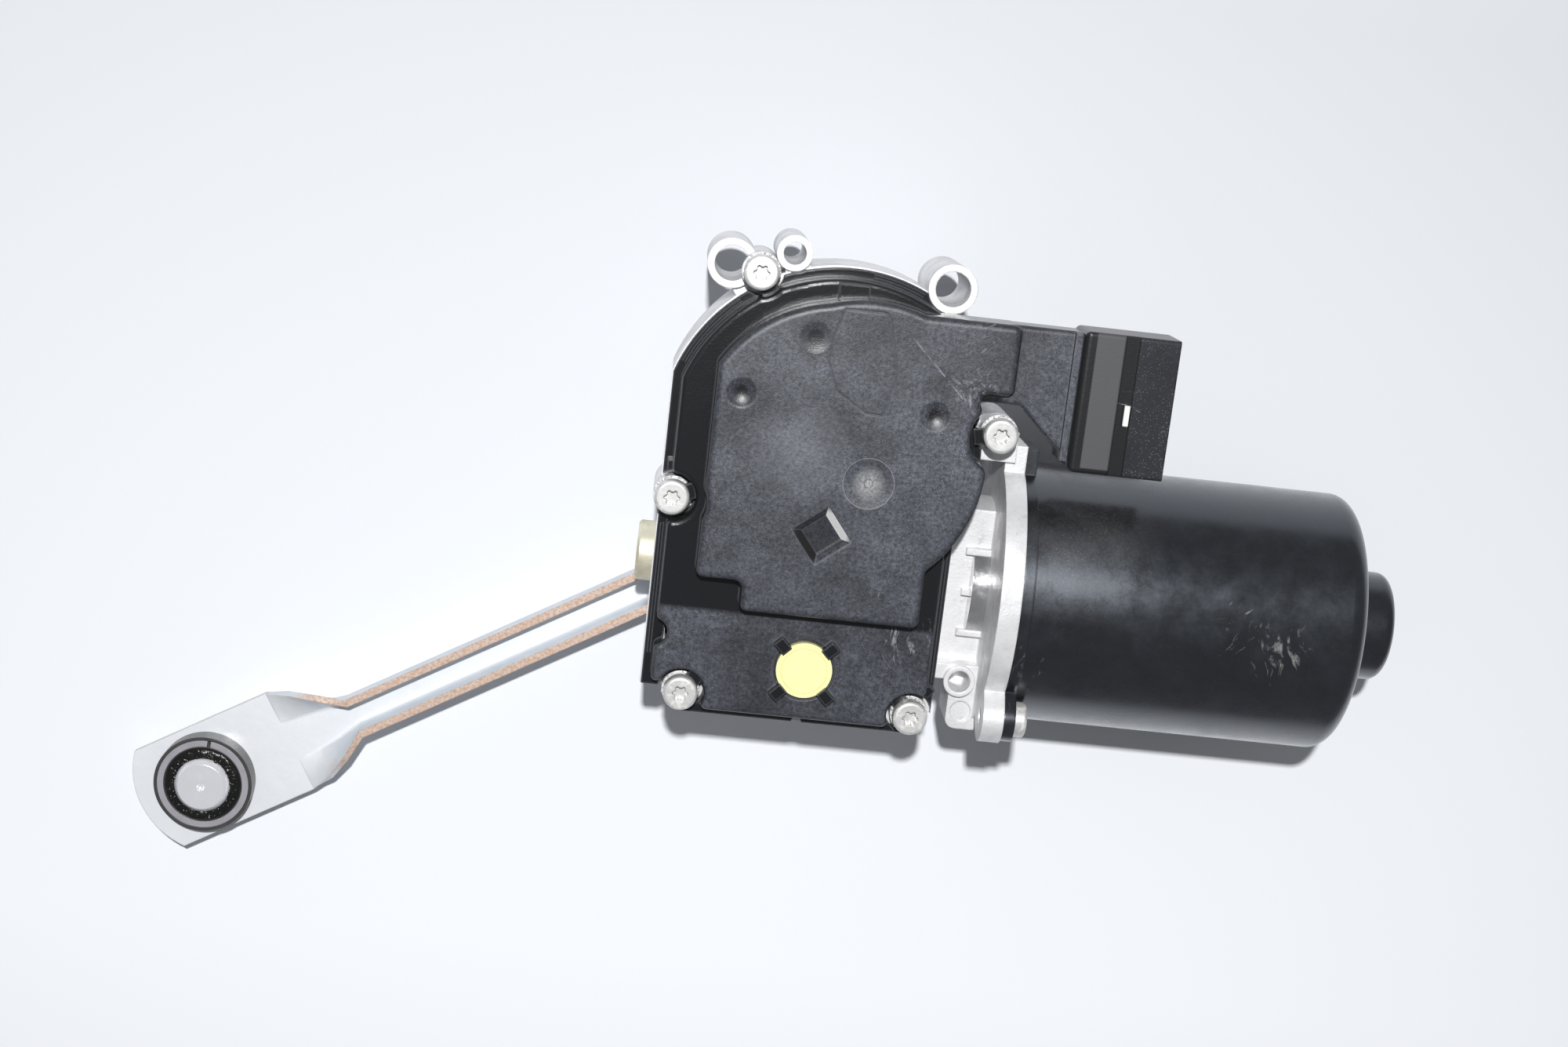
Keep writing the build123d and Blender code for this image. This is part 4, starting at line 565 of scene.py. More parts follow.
# %% Cover plastic
def cover_plastic():
    """Deep black, dusty on the deck, scuffed at its corner, with a fine moulded grain;
    its edges are painted paler as highlights.
    """
    black, dusty = (0.0090, 0.0095, 0.0115, 1), (0.138, 0.150, 0.186, 1)
    # The first of these greys is painted highlight for the edges; the second is real scuffing.
    painted_edge_highlight, scuffed = (0.20, 0.21, 0.23, 1), (0.36, 0.37, 0.40, 1)
    material, tree, shader, place = start_material("cover_plastic")
    skin = use_group(tree, surface_group, Edge_Radius=0.0007, Grain_Scale=2600.0,
                     Grain_Depth=0.000035, Swell_Scale=90.0, Swell_Depth=0.00010)
    dust = use_group(tree, dust_group, Patch_Scale=42.0, Cover=0.62, Speck_Scale=1700.0,
                     Speck_Share=0.30)
    where = dusty_places(tree, place)
    settled = dust_with_painted_shade(tree, place, dust["Mask"], where)
    scuffs = cover_scuffs(tree, place)
    colour = mix(tree, product(tree, settled, 0.85), black, dusty)
    specks = product(tree, dust["Specks"], product(tree, where, 0.6))
    colour = mix(tree, specks, colour, grey(0.24))
    # A paler grey along every edge is painted highlight, where the lamp catches the rounded edges.
    colour = mix(tree, product(tree, skin["Edge"], 0.55), colour, painted_edge_highlight)
    colour = mix(tree, product(tree, scuffs, 0.6), colour, scuffed)
    # Round the gate: dust and a painted sheen; in the recess: a painted highlight and painted
    # shade.
    colour = paint_facet_light_and_shade(tree, place, gate_dust_and_sheen(tree, place, colour))
    rough = add_masks(tree, ramp(tree, where, 0.0, 1.0, 0.20, 0.34),
                      product(tree, scuffs, 0.3), product(tree, settled, 0.15))
    wire(tree, shader, Base_Color=colour, Roughness=rough, Specular_IOR_Level=0.5,
         Normal=skin["Normal"])
    return material


# %% [markdown]
# ## Connector plastic
# The plug housing is the same kind of plastic, but its top has clear bands: a dull band
# where a foil once sat, and a dusty end. The bands follow the length of the housing, so
# they are regions of the Object coordinates.

# %% Connector plastic
DULL_FROM, DULL_TO = (55.2, 3.2, 61.5), (61.7, None, None)
DUSTY_FROM = (65.2, None, 60)
CONNECTOR_SCRATCHES = (((66.0, 20.0, 62.5), 9, 0.0, 1100.0, 0.12),)


def connector_plastic():
    """Black plastic whose top carries bands of different dullness."""
    black, foil = (0.010, 0.0105, 0.012, 1), (0.062, 0.063, 0.068, 1)
    haze = (0.045, 0.048, 0.058, 1)
    material, tree, shader, place = start_material("connector_plastic")
    skin = use_group(tree, surface_group, Edge_Radius=0.0006, Grain_Scale=2200.0,
                     Grain_Depth=0.00002, Swell_Scale=70.0, Swell_Depth=0.00008)
    dust = use_group(tree, dust_group, Patch_Scale=80.0, Cover=0.55, Speck_Scale=2100.0,
                     Speck_Share=0.34)
    dull = region(tree, place, DULL_FROM, DULL_TO, 0.15)
    dusty = region(tree, place, DUSTY_FROM, ANYWHERE, 0.2)
    cuts = add_masks(tree, *scratches(tree, CONNECTOR_SCRATCHES))
    colour = mix(tree, dull, black, foil)
    colour = mix(tree, product(tree, dusty, product(tree, dust["Mask"], 0.5)), colour, haze)
    specks = product(tree, dusty, product(tree, dust["Specks"], 0.7))
    colour = mix(tree, specks, colour, grey(0.24))
    colour = mix(tree, product(tree, cuts, 0.6), colour, grey(0.34))
    wire(tree, shader, Base_Color=colour, Roughness=ramp(tree, dull, 0.0, 1.0, 0.30, 0.55),
         Normal=skin["Normal"])
    return material


# %% [markdown]
# ## Painted motor can
# The can is deep-drawn steel with a thin gloss black coat. Handling has left hair
# scratches near its closed end and at its flange, and dust lies on its upper side near the
# case. A clear coat over the paint gives the pale shine along the can's lower side, where
# it mirrors the floor.

# %% Can paint
NEAR_CASE_FROM, NEAR_CASE_TO = (46, -28, None), (74, None, None)
CAN_SCRATCHES = (
    ((109.0, -35.0, 62.9), 13, 1.2, 800.0, 0.22),
    ((98.0, -30.0, 62.9), 12, -0.9, 1200.0, 0.16),
    ((48.0, -46.0, 60.0), 16, 1.5, 1100.0, 0.16),
)


def can_paint():
    """Gloss black coat, hazy with fine scratches, with nicks near the closed end."""
    black, hazy = (0.0065, 0.0068, 0.0078, 1), (0.014, 0.0155, 0.0190, 1)
    material, tree, shader, place = start_material("can_paint")
    skin = use_group(tree, surface_group, Edge_Radius=0.0006, Grain_Scale=700.0,
                     Grain_Depth=0.000012, Swell_Scale=45.0, Swell_Depth=0.00010)
    dust = use_group(tree, dust_group, Patch_Scale=60.0, Cover=0.42, Speck_Scale=1500.0,
                     Speck_Share=0.20)
    near_case = region(tree, place, NEAR_CASE_FROM, NEAR_CASE_TO, 6.0)
    hairs = add_masks(tree, *scratches(tree, CAN_SCRATCHES))
    haze = ramp(tree, noise(tree, place, 140.0, 6.0, 0.7), 0.35, 0.75)
    colour = mix(tree, product(tree, haze, 0.5), black, hazy)
    settled = product(tree, dust["Mask"], near_case)
    colour = mix(tree, product(tree, settled, 0.55), colour, grey(0.12))
    specks = product(tree, dust["Specks"], ramp(tree, near_case, 0.0, 1.0, 0.10, 0.6))
    colour = mix(tree, specks, colour, grey(0.30))
    colour = mix(tree, product(tree, hairs, 0.5), colour, (0.38, 0.37, 0.36, 1))
    rough = add_masks(tree, ramp(tree, haze, 0.0, 1.0, 0.20, 0.38),
                      product(tree, hairs, 0.3), product(tree, settled, 0.25))
    wire(tree, shader, Base_Color=colour, Roughness=rough, Normal=skin["Normal"],
         Specular_IOR_Level=0.9, Specular_Tint=(0.78, 0.86, 1.0, 1.0), Coat_Weight=0.5,
         Coat_Roughness=0.22)
    return material


# %% [markdown]
# ## Zinc-plated steel
# The rod, the crank and the screws are zinc plated. Fresh zinc is bright and slightly blue;
# where sheet was cut after plating the edge rusts. A function with a few inputs makes the
# crank, the screws and the plug, and the rod adds its own rusty edges by place, and painted
# shade on the steep walls of its channel.


# %% Plated steel
def plated_steel(name, bright, dull, roughness, spoil=0.3, spoil_colour=(0.62, 0.60, 0.55, 1)):
    """Zinc plate with spangle, dull patches and a little white corrosion."""
    material, tree, shader, place = start_material(name)
    skin = use_group(tree, surface_group, Edge_Radius=0.0004, Grain_Scale=1500.0,
                     Grain_Depth=0.00002, Swell_Scale=160.0, Swell_Depth=0.00010)
    patches = ramp(tree, noise(tree, place, 150.0, 5.0, 0.65), 0.38, 0.66)
    eaten_noise = noise(tree, place, 480.0, 5.0, 0.7)
    eaten = ramp(tree, eaten_noise, 0.66 - 0.16 * spoil, 0.76 - 0.16 * spoil)
    colour = mix(tree, patches, bright, dull)
    colour = mix(tree, product(tree, eaten, spoil), colour, spoil_colour)
    metal = ramp(tree, product(tree, eaten, spoil), 0.0, 1.0, 0.50, 0.1)
    wire(tree, shader, Base_Color=colour, Metallic=metal,
         Roughness=ramp(tree, patches, 0.0, 1.0, roughness, roughness + 0.16),
         Normal=skin["Normal"])
    return material


# %% Link rod finish
ROD_SHEET_HIGH = 8.0
RIM_HEIGHT = 4.0


def rod_places(tree, place):
    """The rod's flat rims, the walls between its rims and floor, and its sheared edge."""
    facing = add_node(tree, "ShaderNodeSeparateXYZ", {0: own_normal(tree)}).outputs["Z"]
    flat = ramp(tree, maths(tree, "ABSOLUTE", facing), 0.55, 0.9)
    steep = maths(tree, "SUBTRACT", 1.0, flat)
    high = region(tree, place, (None, None, ROD_SHEET_HIGH + RIM_HEIGHT), ANYWHERE, 0.8)
    above_sheet = region(tree, place, (None, None, ROD_SHEET_HIGH), ANYWHERE, 0.2)
    in_sheet = region(tree, place, ANYWHERE, (None, None, ROD_SHEET_HIGH), 0.3)
    rim, wall = product(tree, high, flat), product(tree, steep, above_sheet)
    return rim, wall, product(tree, steep, in_sheet)


def rod_zinc():
    """Bright bluish zinc with rust along the sheared edges of the folded sheet,
    and painted shade on the channel's walls.
    """
    bright, dull = (0.93, 0.95, 0.98, 1), (0.82, 0.84, 0.88, 1)
    sheared, shaded = (0.42, 0.40, 0.36, 1), (0.50, 0.55, 0.60, 1)
    rusty, stained = (0.46, 0.24, 0.13, 1), (0.62, 0.50, 0.40, 1)
    material, tree, shader, place = start_material("rod_zinc")
    skin = use_group(tree, surface_group, Edge_Radius=0.0004, Grain_Scale=1300.0,
                     Grain_Depth=0.00002, Swell_Scale=130.0, Swell_Depth=0.00012)
    rim, wall, sheet_edge = rod_places(tree, place)
    patches = ramp(tree, noise(tree, place, 120.0, 6.0, 0.7), 0.36, 0.68)
    mottle = ramp(tree, noise(tree, place, 1300.0, 4.0, 0.6), 0.40, 0.62)
    rust = product(tree, rim, ramp(tree, mottle, 0.0, 1.0, 0.55, 1.0))
    colour = mix(tree, patches, bright, dull)
    colour = mix(tree, product(tree, sheet_edge, 0.6), colour, sheared)
    # The steep walls of the channel are painted a darker blue grey as shade.
    colour = mix(tree, product(tree, wall, 0.65), colour, shaded)
    colour = mix(tree, rust, colour, rusty)
    colour = mix(tree, product(tree, rim, 0.35), colour, stained)
    spoiled = add_masks(tree, rust, product(tree, rim, 0.4))
    rough = add_masks(tree, ramp(tree, patches, 0.0, 1.0, 0.34, 0.48), product(tree, rust, 0.30))
    wire(tree, shader, Base_Color=colour, Metallic=ramp(tree, spoiled, 0.0, 1.0, 0.28, 0.1),
         Roughness=rough, Normal=skin["Normal"])
    return material


# %% [markdown]
# ## The remaining finishes
# Springs, bushes, magnets, windings and the rest are seen only in part, or when the unit is
# opened. They still get a real finish each. Two functions cover them: one for plain metals
# and one for plastics, rubber and ferrite, with their own grain and their own dirt.


# %% Plain metal and plain moulded finishes
def plain_metal(name, colour, roughness, dirt=0.3, metallic=0.95):
    """A machined or drawn metal with uneven polish and a little dirt."""
    material, tree, shader, place = start_material(name)
    skin = use_group(tree, surface_group, Edge_Radius=0.0002, Grain_Scale=2400.0,
                     Grain_Depth=0.00001, Swell_Scale=300.0, Swell_Depth=0.00002)
    patches = ramp(tree, noise(tree, place, 260.0, 5.0, 0.65), 0.40, 0.70)
    darker = tuple(0.45 * part for part in colour[:3]) + (1.0,)
    wire(tree, shader, Base_Color=mix(tree, product(tree, patches, dirt), colour, darker),
         Metallic=metallic, Normal=skin["Normal"],
         Roughness=ramp(tree, patches, 0.0, 1.0, roughness, roughness + 0.18))
    return material


def plain_moulded(name, colour, roughness, grain=0.00003, dirt=0.3,
                  dirt_colour=(0.2, 0.19, 0.17, 1)):
    """A moulded or pressed material with its own grain and settled dirt."""
    material, tree, shader, place = start_material(name)
    skin = use_group(tree, surface_group, Edge_Radius=0.0003, Grain_Scale=2000.0,
                     Grain_Depth=grain, Swell_Scale=150.0, Swell_Depth=0.00004)
    patches = ramp(tree, noise(tree, place, 180.0, 6.0, 0.7), 0.45, 0.75)
    wire(tree, shader, Base_Color=mix(tree, product(tree, patches, dirt), colour, dirt_colour),
         Roughness=ramp(tree, skin["Grain"], 0.0, 1.0, roughness - 0.06, roughness + 0.08),
         Normal=skin["Normal"])
    return material


# %% [markdown]
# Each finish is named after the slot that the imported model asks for, so painting every
# solid is one loop. The lists give, for metals, the colour, the roughness, and where it
# differs the dirt and the metallic share; for moulded pieces the colour, the roughness,
# and where it differs the depth of the grain, the dirt and the dirt's colour.

# %% The list of finishes
PLATED = {
    "screw_zinc": ((0.74, 0.74, 0.73, 1), (0.54, 0.54, 0.53, 1), 0.34, 0.8, (0.76, 0.75, 0.72, 1)),
    "crank_zinc": ((0.78, 0.79, 0.80, 1), (0.60, 0.60, 0.60, 1), 0.32),
    "plug_zinc": ((0.80, 0.77, 0.62, 1), (0.60, 0.56, 0.42, 1), 0.36, 0.4, (0.50, 0.42, 0.26, 1)),
}
METALS = {
    "clip_steel": ((0.60, 0.60, 0.62, 1), 0.28),
    "bush_bronze": ((0.55, 0.38, 0.20, 1), 0.38, 0.5),
    "bearing_steel": ((0.72, 0.72, 0.74, 1), 0.12, 0.15),
    "spring_steel": ((0.55, 0.55, 0.57, 1), 0.24),
    "choke_copper": ((0.62, 0.28, 0.12, 1), 0.30),
    "pin_tin": ((0.74, 0.73, 0.68, 1), 0.26, 0.15),
    "shaft_steel": ((0.62, 0.62, 0.64, 1), 0.22, 0.3),
    "core_steel": ((0.35, 0.35, 0.37, 1), 0.40, 0.5),
    "winding_copper": ((0.60, 0.26, 0.11, 1), 0.30),
    "ring_steel": ((0.12, 0.12, 0.12, 1), 0.36),
    "ball_steel": ((0.88, 0.88, 0.92, 1), 0.24, 0.15, 0.45),
}
MOULDED = {
    "gasket_rubber": (grey(0.02), 0.62),
    "vent_plastic": ((0.90, 0.87, 0.42, 1), 0.42, 0.00001, 0.08, (0.70, 0.64, 0.28, 1)),
    "ferrite": (grey(0.06), 0.55),
    "holder_plastic": (grey(0.045), 0.5),
    "carbon": (grey(0.04), 0.6, 0.00006),
    "seal_rubber": (grey(0.006), 0.20, 0.00008, 0.25, (0.030, 0.022, 0.012, 1)),
    "board_green": ((0.02, 0.12, 0.05, 1), 0.34),
    "component_black": (grey(0.02), 0.45),
    "wheel_acetal": ((0.78, 0.76, 0.68, 1), 0.38, 0.00001, 0.15),
    "magnet_black": (grey(0.03), 0.5),
    "liner_white": ((0.80, 0.79, 0.75, 1), 0.36, 0.00001, 0.1),
    "socket_plastic": (grey(0.05), 0.30, 0.00002, 0.12),
    "ring_plastic": ((0.34, 0.33, 0.36, 1), 0.40, 0.00002, 0.35, (0.10, 0.09, 0.09, 1)),
}


def make_finishes():
    """Every finish by its name."""
    finishes = {
        "cast_aluminium": cast_aluminium(),
        "cover_plastic": cover_plastic(),
        "connector_plastic": connector_plastic(),
        "can_paint": can_paint(),
        "rod_zinc": rod_zinc(),
    }
    for make, listed in ((plated_steel, PLATED), (plain_metal, METALS), (plain_moulded, MOULDED)):
        finishes.update({name: make(name, *values) for name, values in listed.items()})
    return finishes


# %% Paint every solid
def paint(piece, slot):
    """Gives a piece the one material of its slot."""
    piece.data.materials.clear()
    piece.data.materials.append(FINISHES[slot])


FINISHES = make_finishes()
for part in frame["record"]["subparts"]:
    paint(nodes[part["node"]], part["material_slot"])

# %% [markdown]
# ## Small things, made with Geometry Nodes
# Grease, white corrosion and moulded bead lines are the same small shape many times, or one
# small shape along a path. Geometry Nodes makes them: one tree scatters lumps over a
# surface, another draws a thin bar along a line. The result is kept as a plain mesh, so
# nothing is left to work out later.


# %% Geometry trees
def start_geometry(name, inputs):
    """An empty geometry tree with a mesh coming in and a mesh going out."""
    tree = bpy.data.node_groups.new(name, "GeometryNodeTree")
    tree.interface.new_socket("Geometry", in_out="INPUT", socket_type="NodeSocketGeometry")
    for label, kind in inputs:
        tree.interface.new_socket(label, in_out="INPUT", socket_type=kind)
    tree.interface.new_socket("Geometry", in_out="OUTPUT", socket_type="NodeSocketGeometry")
    given = tree.nodes.new("NodeGroupInput").outputs
    return tree, given, tree.nodes.new("NodeGroupOutput").inputs


def close_tree(tree, geometry, material, target):
    """Makes instances real, smooths the result and gives it its material."""
    real = add_node(tree, "GeometryNodeRealizeInstances", {"Geometry": geometry}).outputs[0]
    smooth = add_node(tree, "GeometryNodeSetShadeSmooth", {"Geometry": real}).outputs[0]
    painted = add_node(tree, "GeometryNodeSetMaterial", {"Geometry": smooth, "Material": material})
    tree.links.new(painted.outputs[0], target["Geometry"])


# %% Scattered lumps
# A lump is flattened by the shares given and tipped and turned by up to the angles given.
# The Random Value node has a pair of sockets for each kind of value: the least and the
# most of a vector are its first pair, those of a number its second.
LUMP_SHAPE = (1.0, 0.75, 0.45)
LUMP_TURN = (0.6, 0.6, math.tau)
LEAST_VECTOR, MOST_VECTOR, LEAST_NUMBER, MOST_NUMBER = 0, 1, 2, 3


def build_lump_tree():
    """Round lumps of mixed size, scattered over a surface."""
    tree, given, target = start_geometry(
        "lumps",
        [("Density", FLOAT), ("Small", FLOAT), ("Large", FLOAT), ("Seed", "NodeSocketInt"),
         ("Material", "NodeSocketMaterial")],
    )
    points = add_node(
        tree, "GeometryNodeDistributePointsOnFaces",
        {"Mesh": given["Geometry"], "Density": given["Density"], "Seed": given["Seed"]},
    )
    lump = add_node(tree, "GeometryNodeMeshIcoSphere", {"Radius": 1.0, "Subdivisions": 2})
    size = add_node(
        tree, "FunctionNodeRandomValue",
        {LEAST_NUMBER: given["Small"], MOST_NUMBER: given["Large"], "Seed": given["Seed"]},
        data_type="FLOAT",
    ).outputs[1]
    turn = add_node(
        tree, "FunctionNodeRandomValue", {LEAST_VECTOR: (0.0, 0.0, 0.0), MOST_VECTOR: LUMP_TURN},
        data_type="FLOAT_VECTOR",
    ).outputs[0]
    stretch = add_node(
        tree, "ShaderNodeVectorMath", {0: LUMP_SHAPE, "Scale": size}, operation="SCALE"
    ).outputs[0]
    placed = add_node(
        tree, "GeometryNodeInstanceOnPoints",
        {"Points": points.outputs["Points"], "Instance": lump.outputs["Mesh"], "Rotation": turn,
         "Scale": stretch},
    )
    close_tree(tree, placed.outputs[0], given["Material"], target)
    return tree


# %% A bar along a line
def build_bar_tree():
    """A thin round bar along every line of the incoming mesh."""
    tree, given, target = start_geometry(
        "bar", [("Radius", FLOAT), ("Material", "NodeSocketMaterial")]
    )
    path = add_node(tree, "GeometryNodeMeshToCurve", {"Mesh": given["Geometry"]}).outputs[0]
    section = add_node(
        tree, "GeometryNodeCurvePrimitiveCircle", {"Resolution": 10, "Radius": given["Radius"]}
    )
    bar = add_node(
        tree, "GeometryNodeCurveToMesh",
        {"Curve": path, "Profile Curve": section.outputs["Curve"], "Fill Caps": True},
    )
    close_tree(tree, bar.outputs[0], given["Material"], target)
    return tree


lump_tree = build_lump_tree()
bar_tree = build_bar_tree()
print("geometry trees:", lump_tree.name, bar_tree.name)


# %% Keeping the result
def shape_by_tree(piece, tree, material, values):
    """Replaces a piece's mesh by what a geometry tree makes of it."""
    modifier = piece.modifiers.new("shape", "NODES")
    modifier.node_group = tree
    for item in tree.interface.items_tree:
        if item.in_out == "INPUT" and item.name in values:
            modifier[item.identifier] = values[item.name]
        if item.in_out == "INPUT" and item.name == "Material":
            modifier[item.identifier] = material
    seen = piece.evaluated_get(bpy.context.evaluated_depsgraph_get())
    made = bpy.data.meshes.new_from_object(seen)
    piece.modifiers.remove(modifier)
    piece.data = made


def add_piece(name, mesh, body, slot, tree=None, **values):
    """A new piece on a body; with a tree, the mesh is what the tree makes of it."""
    piece = bpy.data.objects.new(name, mesh)
    bpy.context.scene.collection.objects.link(piece)
    if tree:
        shape_by_tree(piece, tree, FINISHES[slot], values)
    paint(piece, slot)
    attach(piece, body)
    print(f"{name}: {len(piece.data.polygons)} faces")


# %% Lines, arcs and rings
SAME_POINT = 1e-6
FULL_TURN = 360


def line_mesh(name, lines):
    """Open or closed lines of points in millimetres; a closed one repeats its first point."""
    points, edges = [], []
    for line in lines:
        closed = (Vector(line[0]) - Vector(line[-1])).length < SAME_POINT
        kept = line[:-1] if closed else line
        first = len(points)
        points += [Vector(point) * MM for point in kept]
        edges += [(first + step, first + step + 1) for step in range(len(kept) - 1)]
        if closed:
            edges.append((first + len(kept) - 1, first))
    mesh = bpy.data.meshes.new(name)
    mesh.from_pydata(points, edges, [])
    return mesh


def arc(centre, radius, start, end, steps=48):
    """Points along a level arc, angles in degrees, lengths in millimetres."""
    x, y, z = centre
    angles = [math.radians(start + (end - start) * step / steps) for step in range(steps + 1)]
    points = [(x + radius * math.cos(angle), y + radius * math.sin(angle), z) for angle in angles]
    if abs(end - start) == FULL_TURN:
        points[-1] = points[0]
    return points


def band_mesh(name, centres, inner, outer, steps=32):
    """Flat rings to scatter lumps over, one at each centre."""
    points, faces = [], []
    for centre in centres:
        first = len(points)
        for step in range(steps):
            angle = math.tau * step / steps
            for radius in (inner, outer):
                offset = Vector((radius * math.cos(angle), radius * math.sin(angle), 0.0))
                points.append((Vector(centre) + offset) * MM)
        for step in range(steps):
            here, after = first + 2 * step, first + 2 * ((step + 1) % steps)
            faces.append((here, here + 1, after + 1, after))
    mesh = bpy.data.meshes.new(name)
    mesh.from_pydata(points, [], faces)
    return mesh


# %% [markdown]
# ## Bead lines, rings and the connector's clip
# The cover's rim carries two fine bead lines where the mould halves met. A gate mark and
# the vent's sealing ring are thin rings, and a small white clip closes the connector's lock.

# %% Beads and rings
RIM_TOP = 48.5
RIM_LEFT, RIM_RIGHT, RIM_BOTTOM, RIM_RADIUS = -39.3, 30.4, -67.4, 41.5
BEAD_RADIUS = 0.22
BEAD_INSETS = (0.75, 1.45)
GATE_MARK, GATE_MARK_RADIUS, GATE_MARK_BAR = (7.7, -6.0, 60.62), 1.0, 0.13
VENT_MIDDLE, VENT_RADIUS, VENT_BAR, VENT_STEPS = (-1.4, -53.0, 54.95), 5.4, 0.16, 72


def rim_lines(inset):
    """The straight runs and the two arcs of one bead, at its distance from the rim's edge."""
    left, right, bottom = RIM_LEFT + inset, RIM_RIGHT - inset, RIM_BOTTOM + inset
    rim_middle = (0.0, 0.0, RIM_TOP)
    return [
        [(-23.5, bottom, RIM_TOP), (-4.0, bottom, RIM_TOP)],
        [(1.2, bottom, RIM_TOP), (18.5, bottom, RIM_TOP)],
        [(left, -54.0, RIM_TOP), (left, -22.5, RIM_TOP)],
        [(right, -54.5, RIM_TOP), (right, -20.0, RIM_TOP)],
        arc(rim_middle, RIM_RADIUS - inset, 66.0, 84.0),
        arc(rim_middle, RIM_RADIUS - inset, 129.0, 157.0),
    ]


beads = line_mesh("rim_beads", [line for inset in BEAD_INSETS for line in rim_lines(inset)])
add_piece("rim_beads", beads, "housing", "cover_plastic", bar_tree, Radius=BEAD_RADIUS * MM)
gate_circle = arc(GATE_MARK, GATE_MARK_RADIUS, 0, FULL_TURN)
add_piece("gate_mark", line_mesh("gate_mark", [gate_circle]), "housing", "cover_plastic",
          bar_tree, Radius=GATE_MARK_BAR * MM)
vent_circle = arc(VENT_MIDDLE, VENT_RADIUS, 0, FULL_TURN, VENT_STEPS)
add_piece("vent_ring", line_mesh("vent_ring", [vent_circle]), "housing", "vent_plastic",
          bar_tree, Radius=VENT_BAR * MM)

# %% Connector clip
CLIP_LOW, CLIP_HIGH = (63.45, 13.7, 61.9), (64.75, 18.5, 62.9)
CLIP_EDGE = 0.2


def block_mesh(name, low, high, soften):
    """A small block with softened edges, its corners given in millimetres."""
    made = bmesh.new()
    bmesh.ops.create_cube(made, size=1.0)
    size = Vector(high) - Vector(low)
    middle = (Vector(high) + Vector(low)) / 2
    for corner in made.verts:
        corner.co = (middle + Vector([a * b for a, b in zip(corner.co, size)])) * MM
    bmesh.ops.bevel(made, geom=made.edges[:], offset=soften * MM, segments=3, profile=0.5,
                    affect="EDGES")
    mesh = bpy.data.meshes.new(name)
    made.to_mesh(mesh)
    made.free()
    return mesh


add_piece("lock_clip", block_mesh("lock_clip", CLIP_LOW, CLIP_HIGH, CLIP_EDGE), "housing",
          "liner_white")

# %% [markdown]
# ## White corrosion round the screws
# Zinc and aluminium together grow white crumbs. They sit round each screw head, in the
# narrow ring between the head and its boss.

# %% Corrosion
SCREW_PLACES = [(-21.7, 38.6), (-36.6, -15.2), (-29.8, -61.6), (25.0, -62.1), (37.6, 7.2)]
BOSS_TOP = 50.5
HEAD_EDGE, BOSS_EDGE = 4.0, 4.4
CRUMBS_PER_M2 = 4.0e6
crumb_places = [(x, y, BOSS_TOP) for x, y in SCREW_PLACES]
crumb_rings = band_mesh("screw_crumbs", crumb_places, HEAD_EDGE, BOSS_EDGE)
add_piece("screw_crumbs", crumb_rings, "housing", "screw_zinc", lump_tree,
          Density=CRUMBS_PER_M2, Small=0.15 * MM, Large=0.45 * MM, Seed=4)

# %% [markdown]
# ## Grease in the far ball joint
# Old grease stands in the open cup round the flat end of the ball. A ring with an uneven
# skin is its body, and wet lumps lie on it. The ring is worked out point by point, because
# its skin follows a plain rule of two angles.

# %% Grease
FAR_BALL = Vector((-147.48, -109.65, 13.2))
GREASE_MIDDLE = 7.9
GREASE_HALF_WIDTH = 1.75
GREASE_HALF_HEIGHT = 0.75
GREASE_SWELL = 0.22
LUMP_LIFT = Vector((0, 0, 0.55))
LUMPS_INNER, LUMPS_OUTER = 6.6, 9.0
LUMPS_PER_M2 = 1.1e6


def grease_mesh(name, around=120, section=20):
    """A flattened ring whose skin swells and sinks by a fraction of a millimetre."""
    points, faces = [], []
    for step in range(around):
        angle = math.tau * step / around
        for turn in range(section):
            side = math.tau * turn / section
            wave = math.sin(5 * angle + 2 * side) * math.cos(9 * angle + 1.0)
            radius = GREASE_MIDDLE + GREASE_HALF_WIDTH * math.cos(side)
            height = GREASE_HALF_HEIGHT * (1.0 + GREASE_SWELL * wave) * math.sin(side)
            offset = Vector((radius * math.cos(angle), radius * math.sin(angle), height))
            points.append((FAR_BALL + offset) * MM)
            along, beside = (step + 1) % around, (turn + 1) % section
            faces.append((step * section + turn, along * section + turn,
                          along * section + beside, step * section + beside))
    mesh = bpy.data.meshes.new(name)
    mesh.from_pydata(points, [], faces)
    mesh.polygons.foreach_set("use_smooth", [True] * len(mesh.polygons))
    return mesh


add_piece("socket_grease", grease_mesh("socket_grease"), "rod", "seal_rubber")
lump_ring = band_mesh("grease_lumps", [FAR_BALL + LUMP_LIFT], LUMPS_INNER, LUMPS_OUTER)
add_piece("grease_lumps", lump_ring, "rod", "seal_rubber", lump_tree,
          Density=LUMPS_PER_M2, Small=0.2 * MM, Large=0.8 * MM, Seed=7)

# %% [markdown]
# ## Floor, light and sky
# The unit lies on a white sheet and is lit by one small flash near the camera, which gives the
# crisp shadows and the narrow highlight along the can; an even pale sky fills the rest.
# The floor is a real surface, so it takes the shadow and shines back under the part. Its
# colour makes the background pale. The flash is nearer to the far side of the sheet, so the
# floor's colour is painted darker there, as painted shade against the flash's extra light,
# and the background comes out even.

# %% Stage
FLOOR_SIZE = 8.0
FLOOR_NEAR = (0.90, 0.92, 0.96, 1.0)
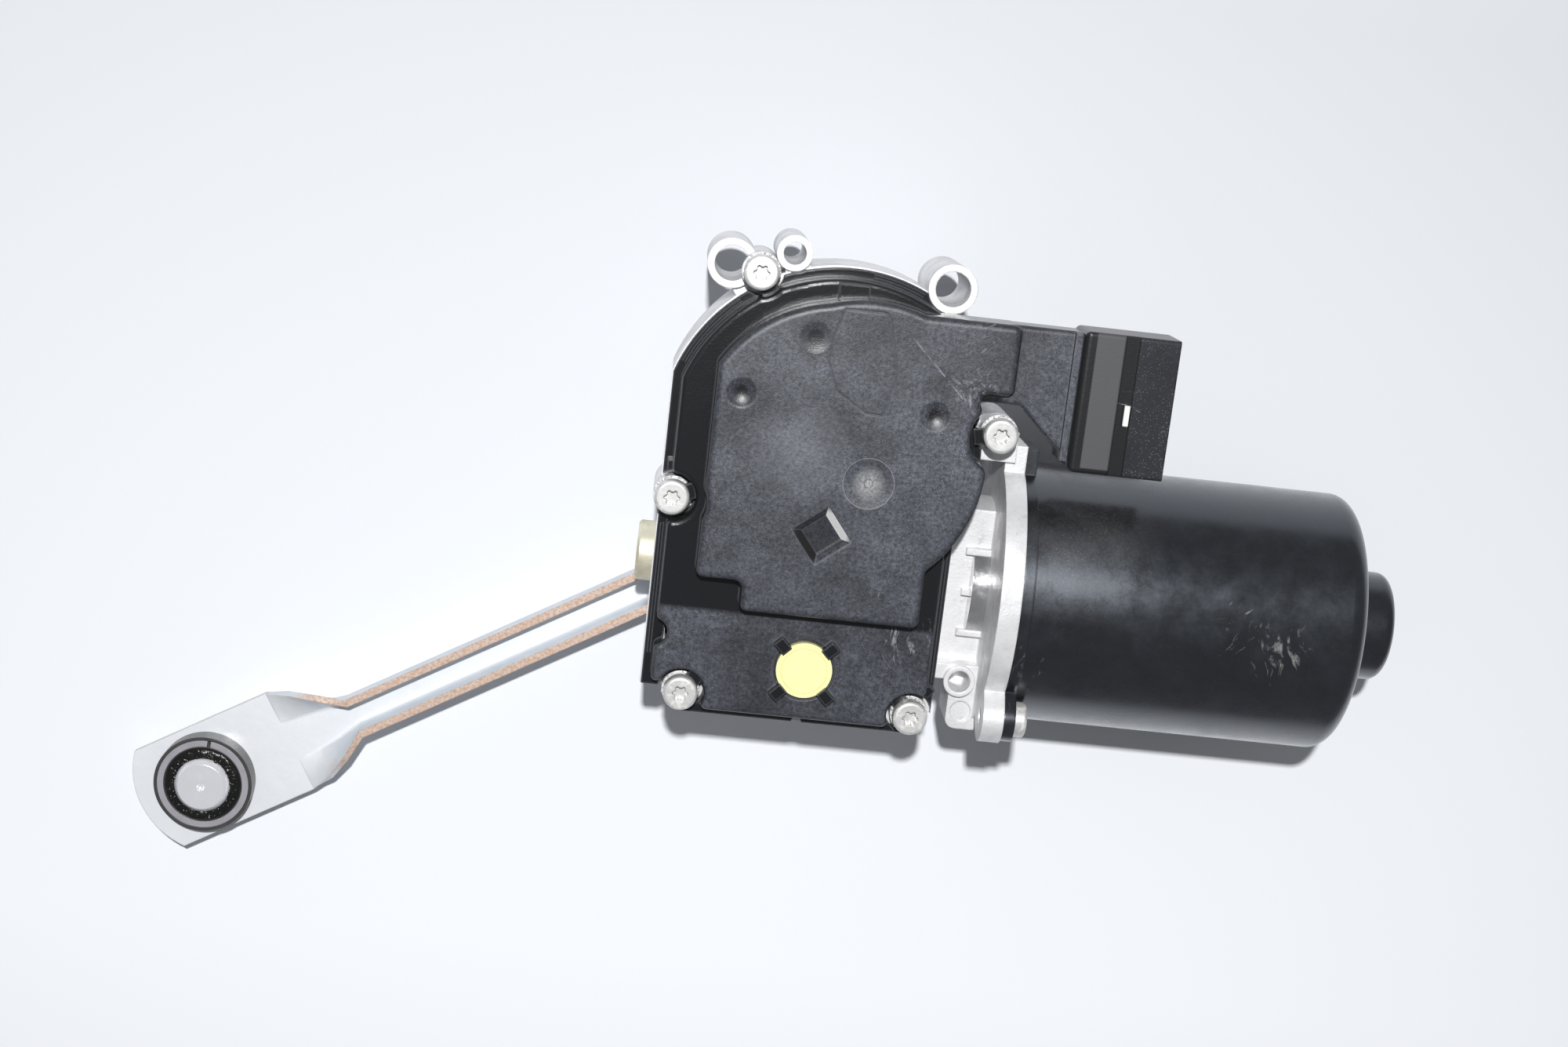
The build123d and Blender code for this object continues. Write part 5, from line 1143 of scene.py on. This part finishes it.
# The far colour is painted darker, as shade against the flash's stronger light there.
FLOOR_FAR = (0.63, 0.645, 0.675, 1.0)
FLOOR_NEAR_Y = -0.15
FLOOR_FAR_Y = 0.11
SKY_COLOUR = (0.95, 0.97, 1.0, 1.0)
SKY_STRENGTH = 0.20
FLASH_PLACE = Vector((-0.06, 0.27, 0.85))
FLASH_TARGET = Vector((0.0, -0.03, 0.03))
FLASH_SIZE = 0.025
FLASH_POWER = 8.5


def make_floor():
    """A wide pale floor just under the part, painted darker towards its far side as shade."""
    mesh = bpy.data.meshes.new("floor")
    half = FLOOR_SIZE / 2
    corners = [(-half, -half, 0), (half, -half, 0), (half, half, 0), (-half, half, 0)]
    mesh.from_pydata(corners, [], [(0, 1, 2, 3)])
    floor = bpy.data.objects.new("floor", mesh)
    bpy.context.scene.collection.objects.link(floor)
    material, tree, shader, place = start_material("floor")
    along = add_node(tree, "ShaderNodeSeparateXYZ", {0: place}).outputs["Y"]
    shade = mix(tree, ramp(tree, along, FLOOR_NEAR_Y, FLOOR_FAR_Y), FLOOR_NEAR, FLOOR_FAR)
    wire(tree, shader, Base_Color=shade, Roughness=0.9, Specular_IOR_Level=0.2)
    mesh.materials.append(material)


def make_flash():
    """A small square area lamp that points at the part."""
    data = bpy.data.lights.new("key", "AREA")
    data.shape = "SQUARE"
    data.size = FLASH_SIZE
    data.energy = FLASH_POWER
    lamp = bpy.data.objects.new("key", data)
    lamp.location = FLASH_PLACE
    lamp.rotation_euler = (FLASH_TARGET - FLASH_PLACE).to_track_quat("-Z", "Y").to_euler()
    bpy.context.scene.collection.objects.link(lamp)


def make_sky():
    """An even pale sky."""
    world = bpy.data.worlds.new("sky")
    world.use_nodes = True
    world.node_tree.nodes.clear()
    background = add_node(
        world.node_tree, "ShaderNodeBackground", {"Color": SKY_COLOUR, "Strength": SKY_STRENGTH}
    )
    add_node(world.node_tree, "ShaderNodeOutputWorld", {"Surface": background.outputs[0]})
    bpy.context.scene.world = world


make_floor()
make_sky()
make_flash()
bpy.context.scene.view_settings.view_transform = "Standard"
print("stage ready")
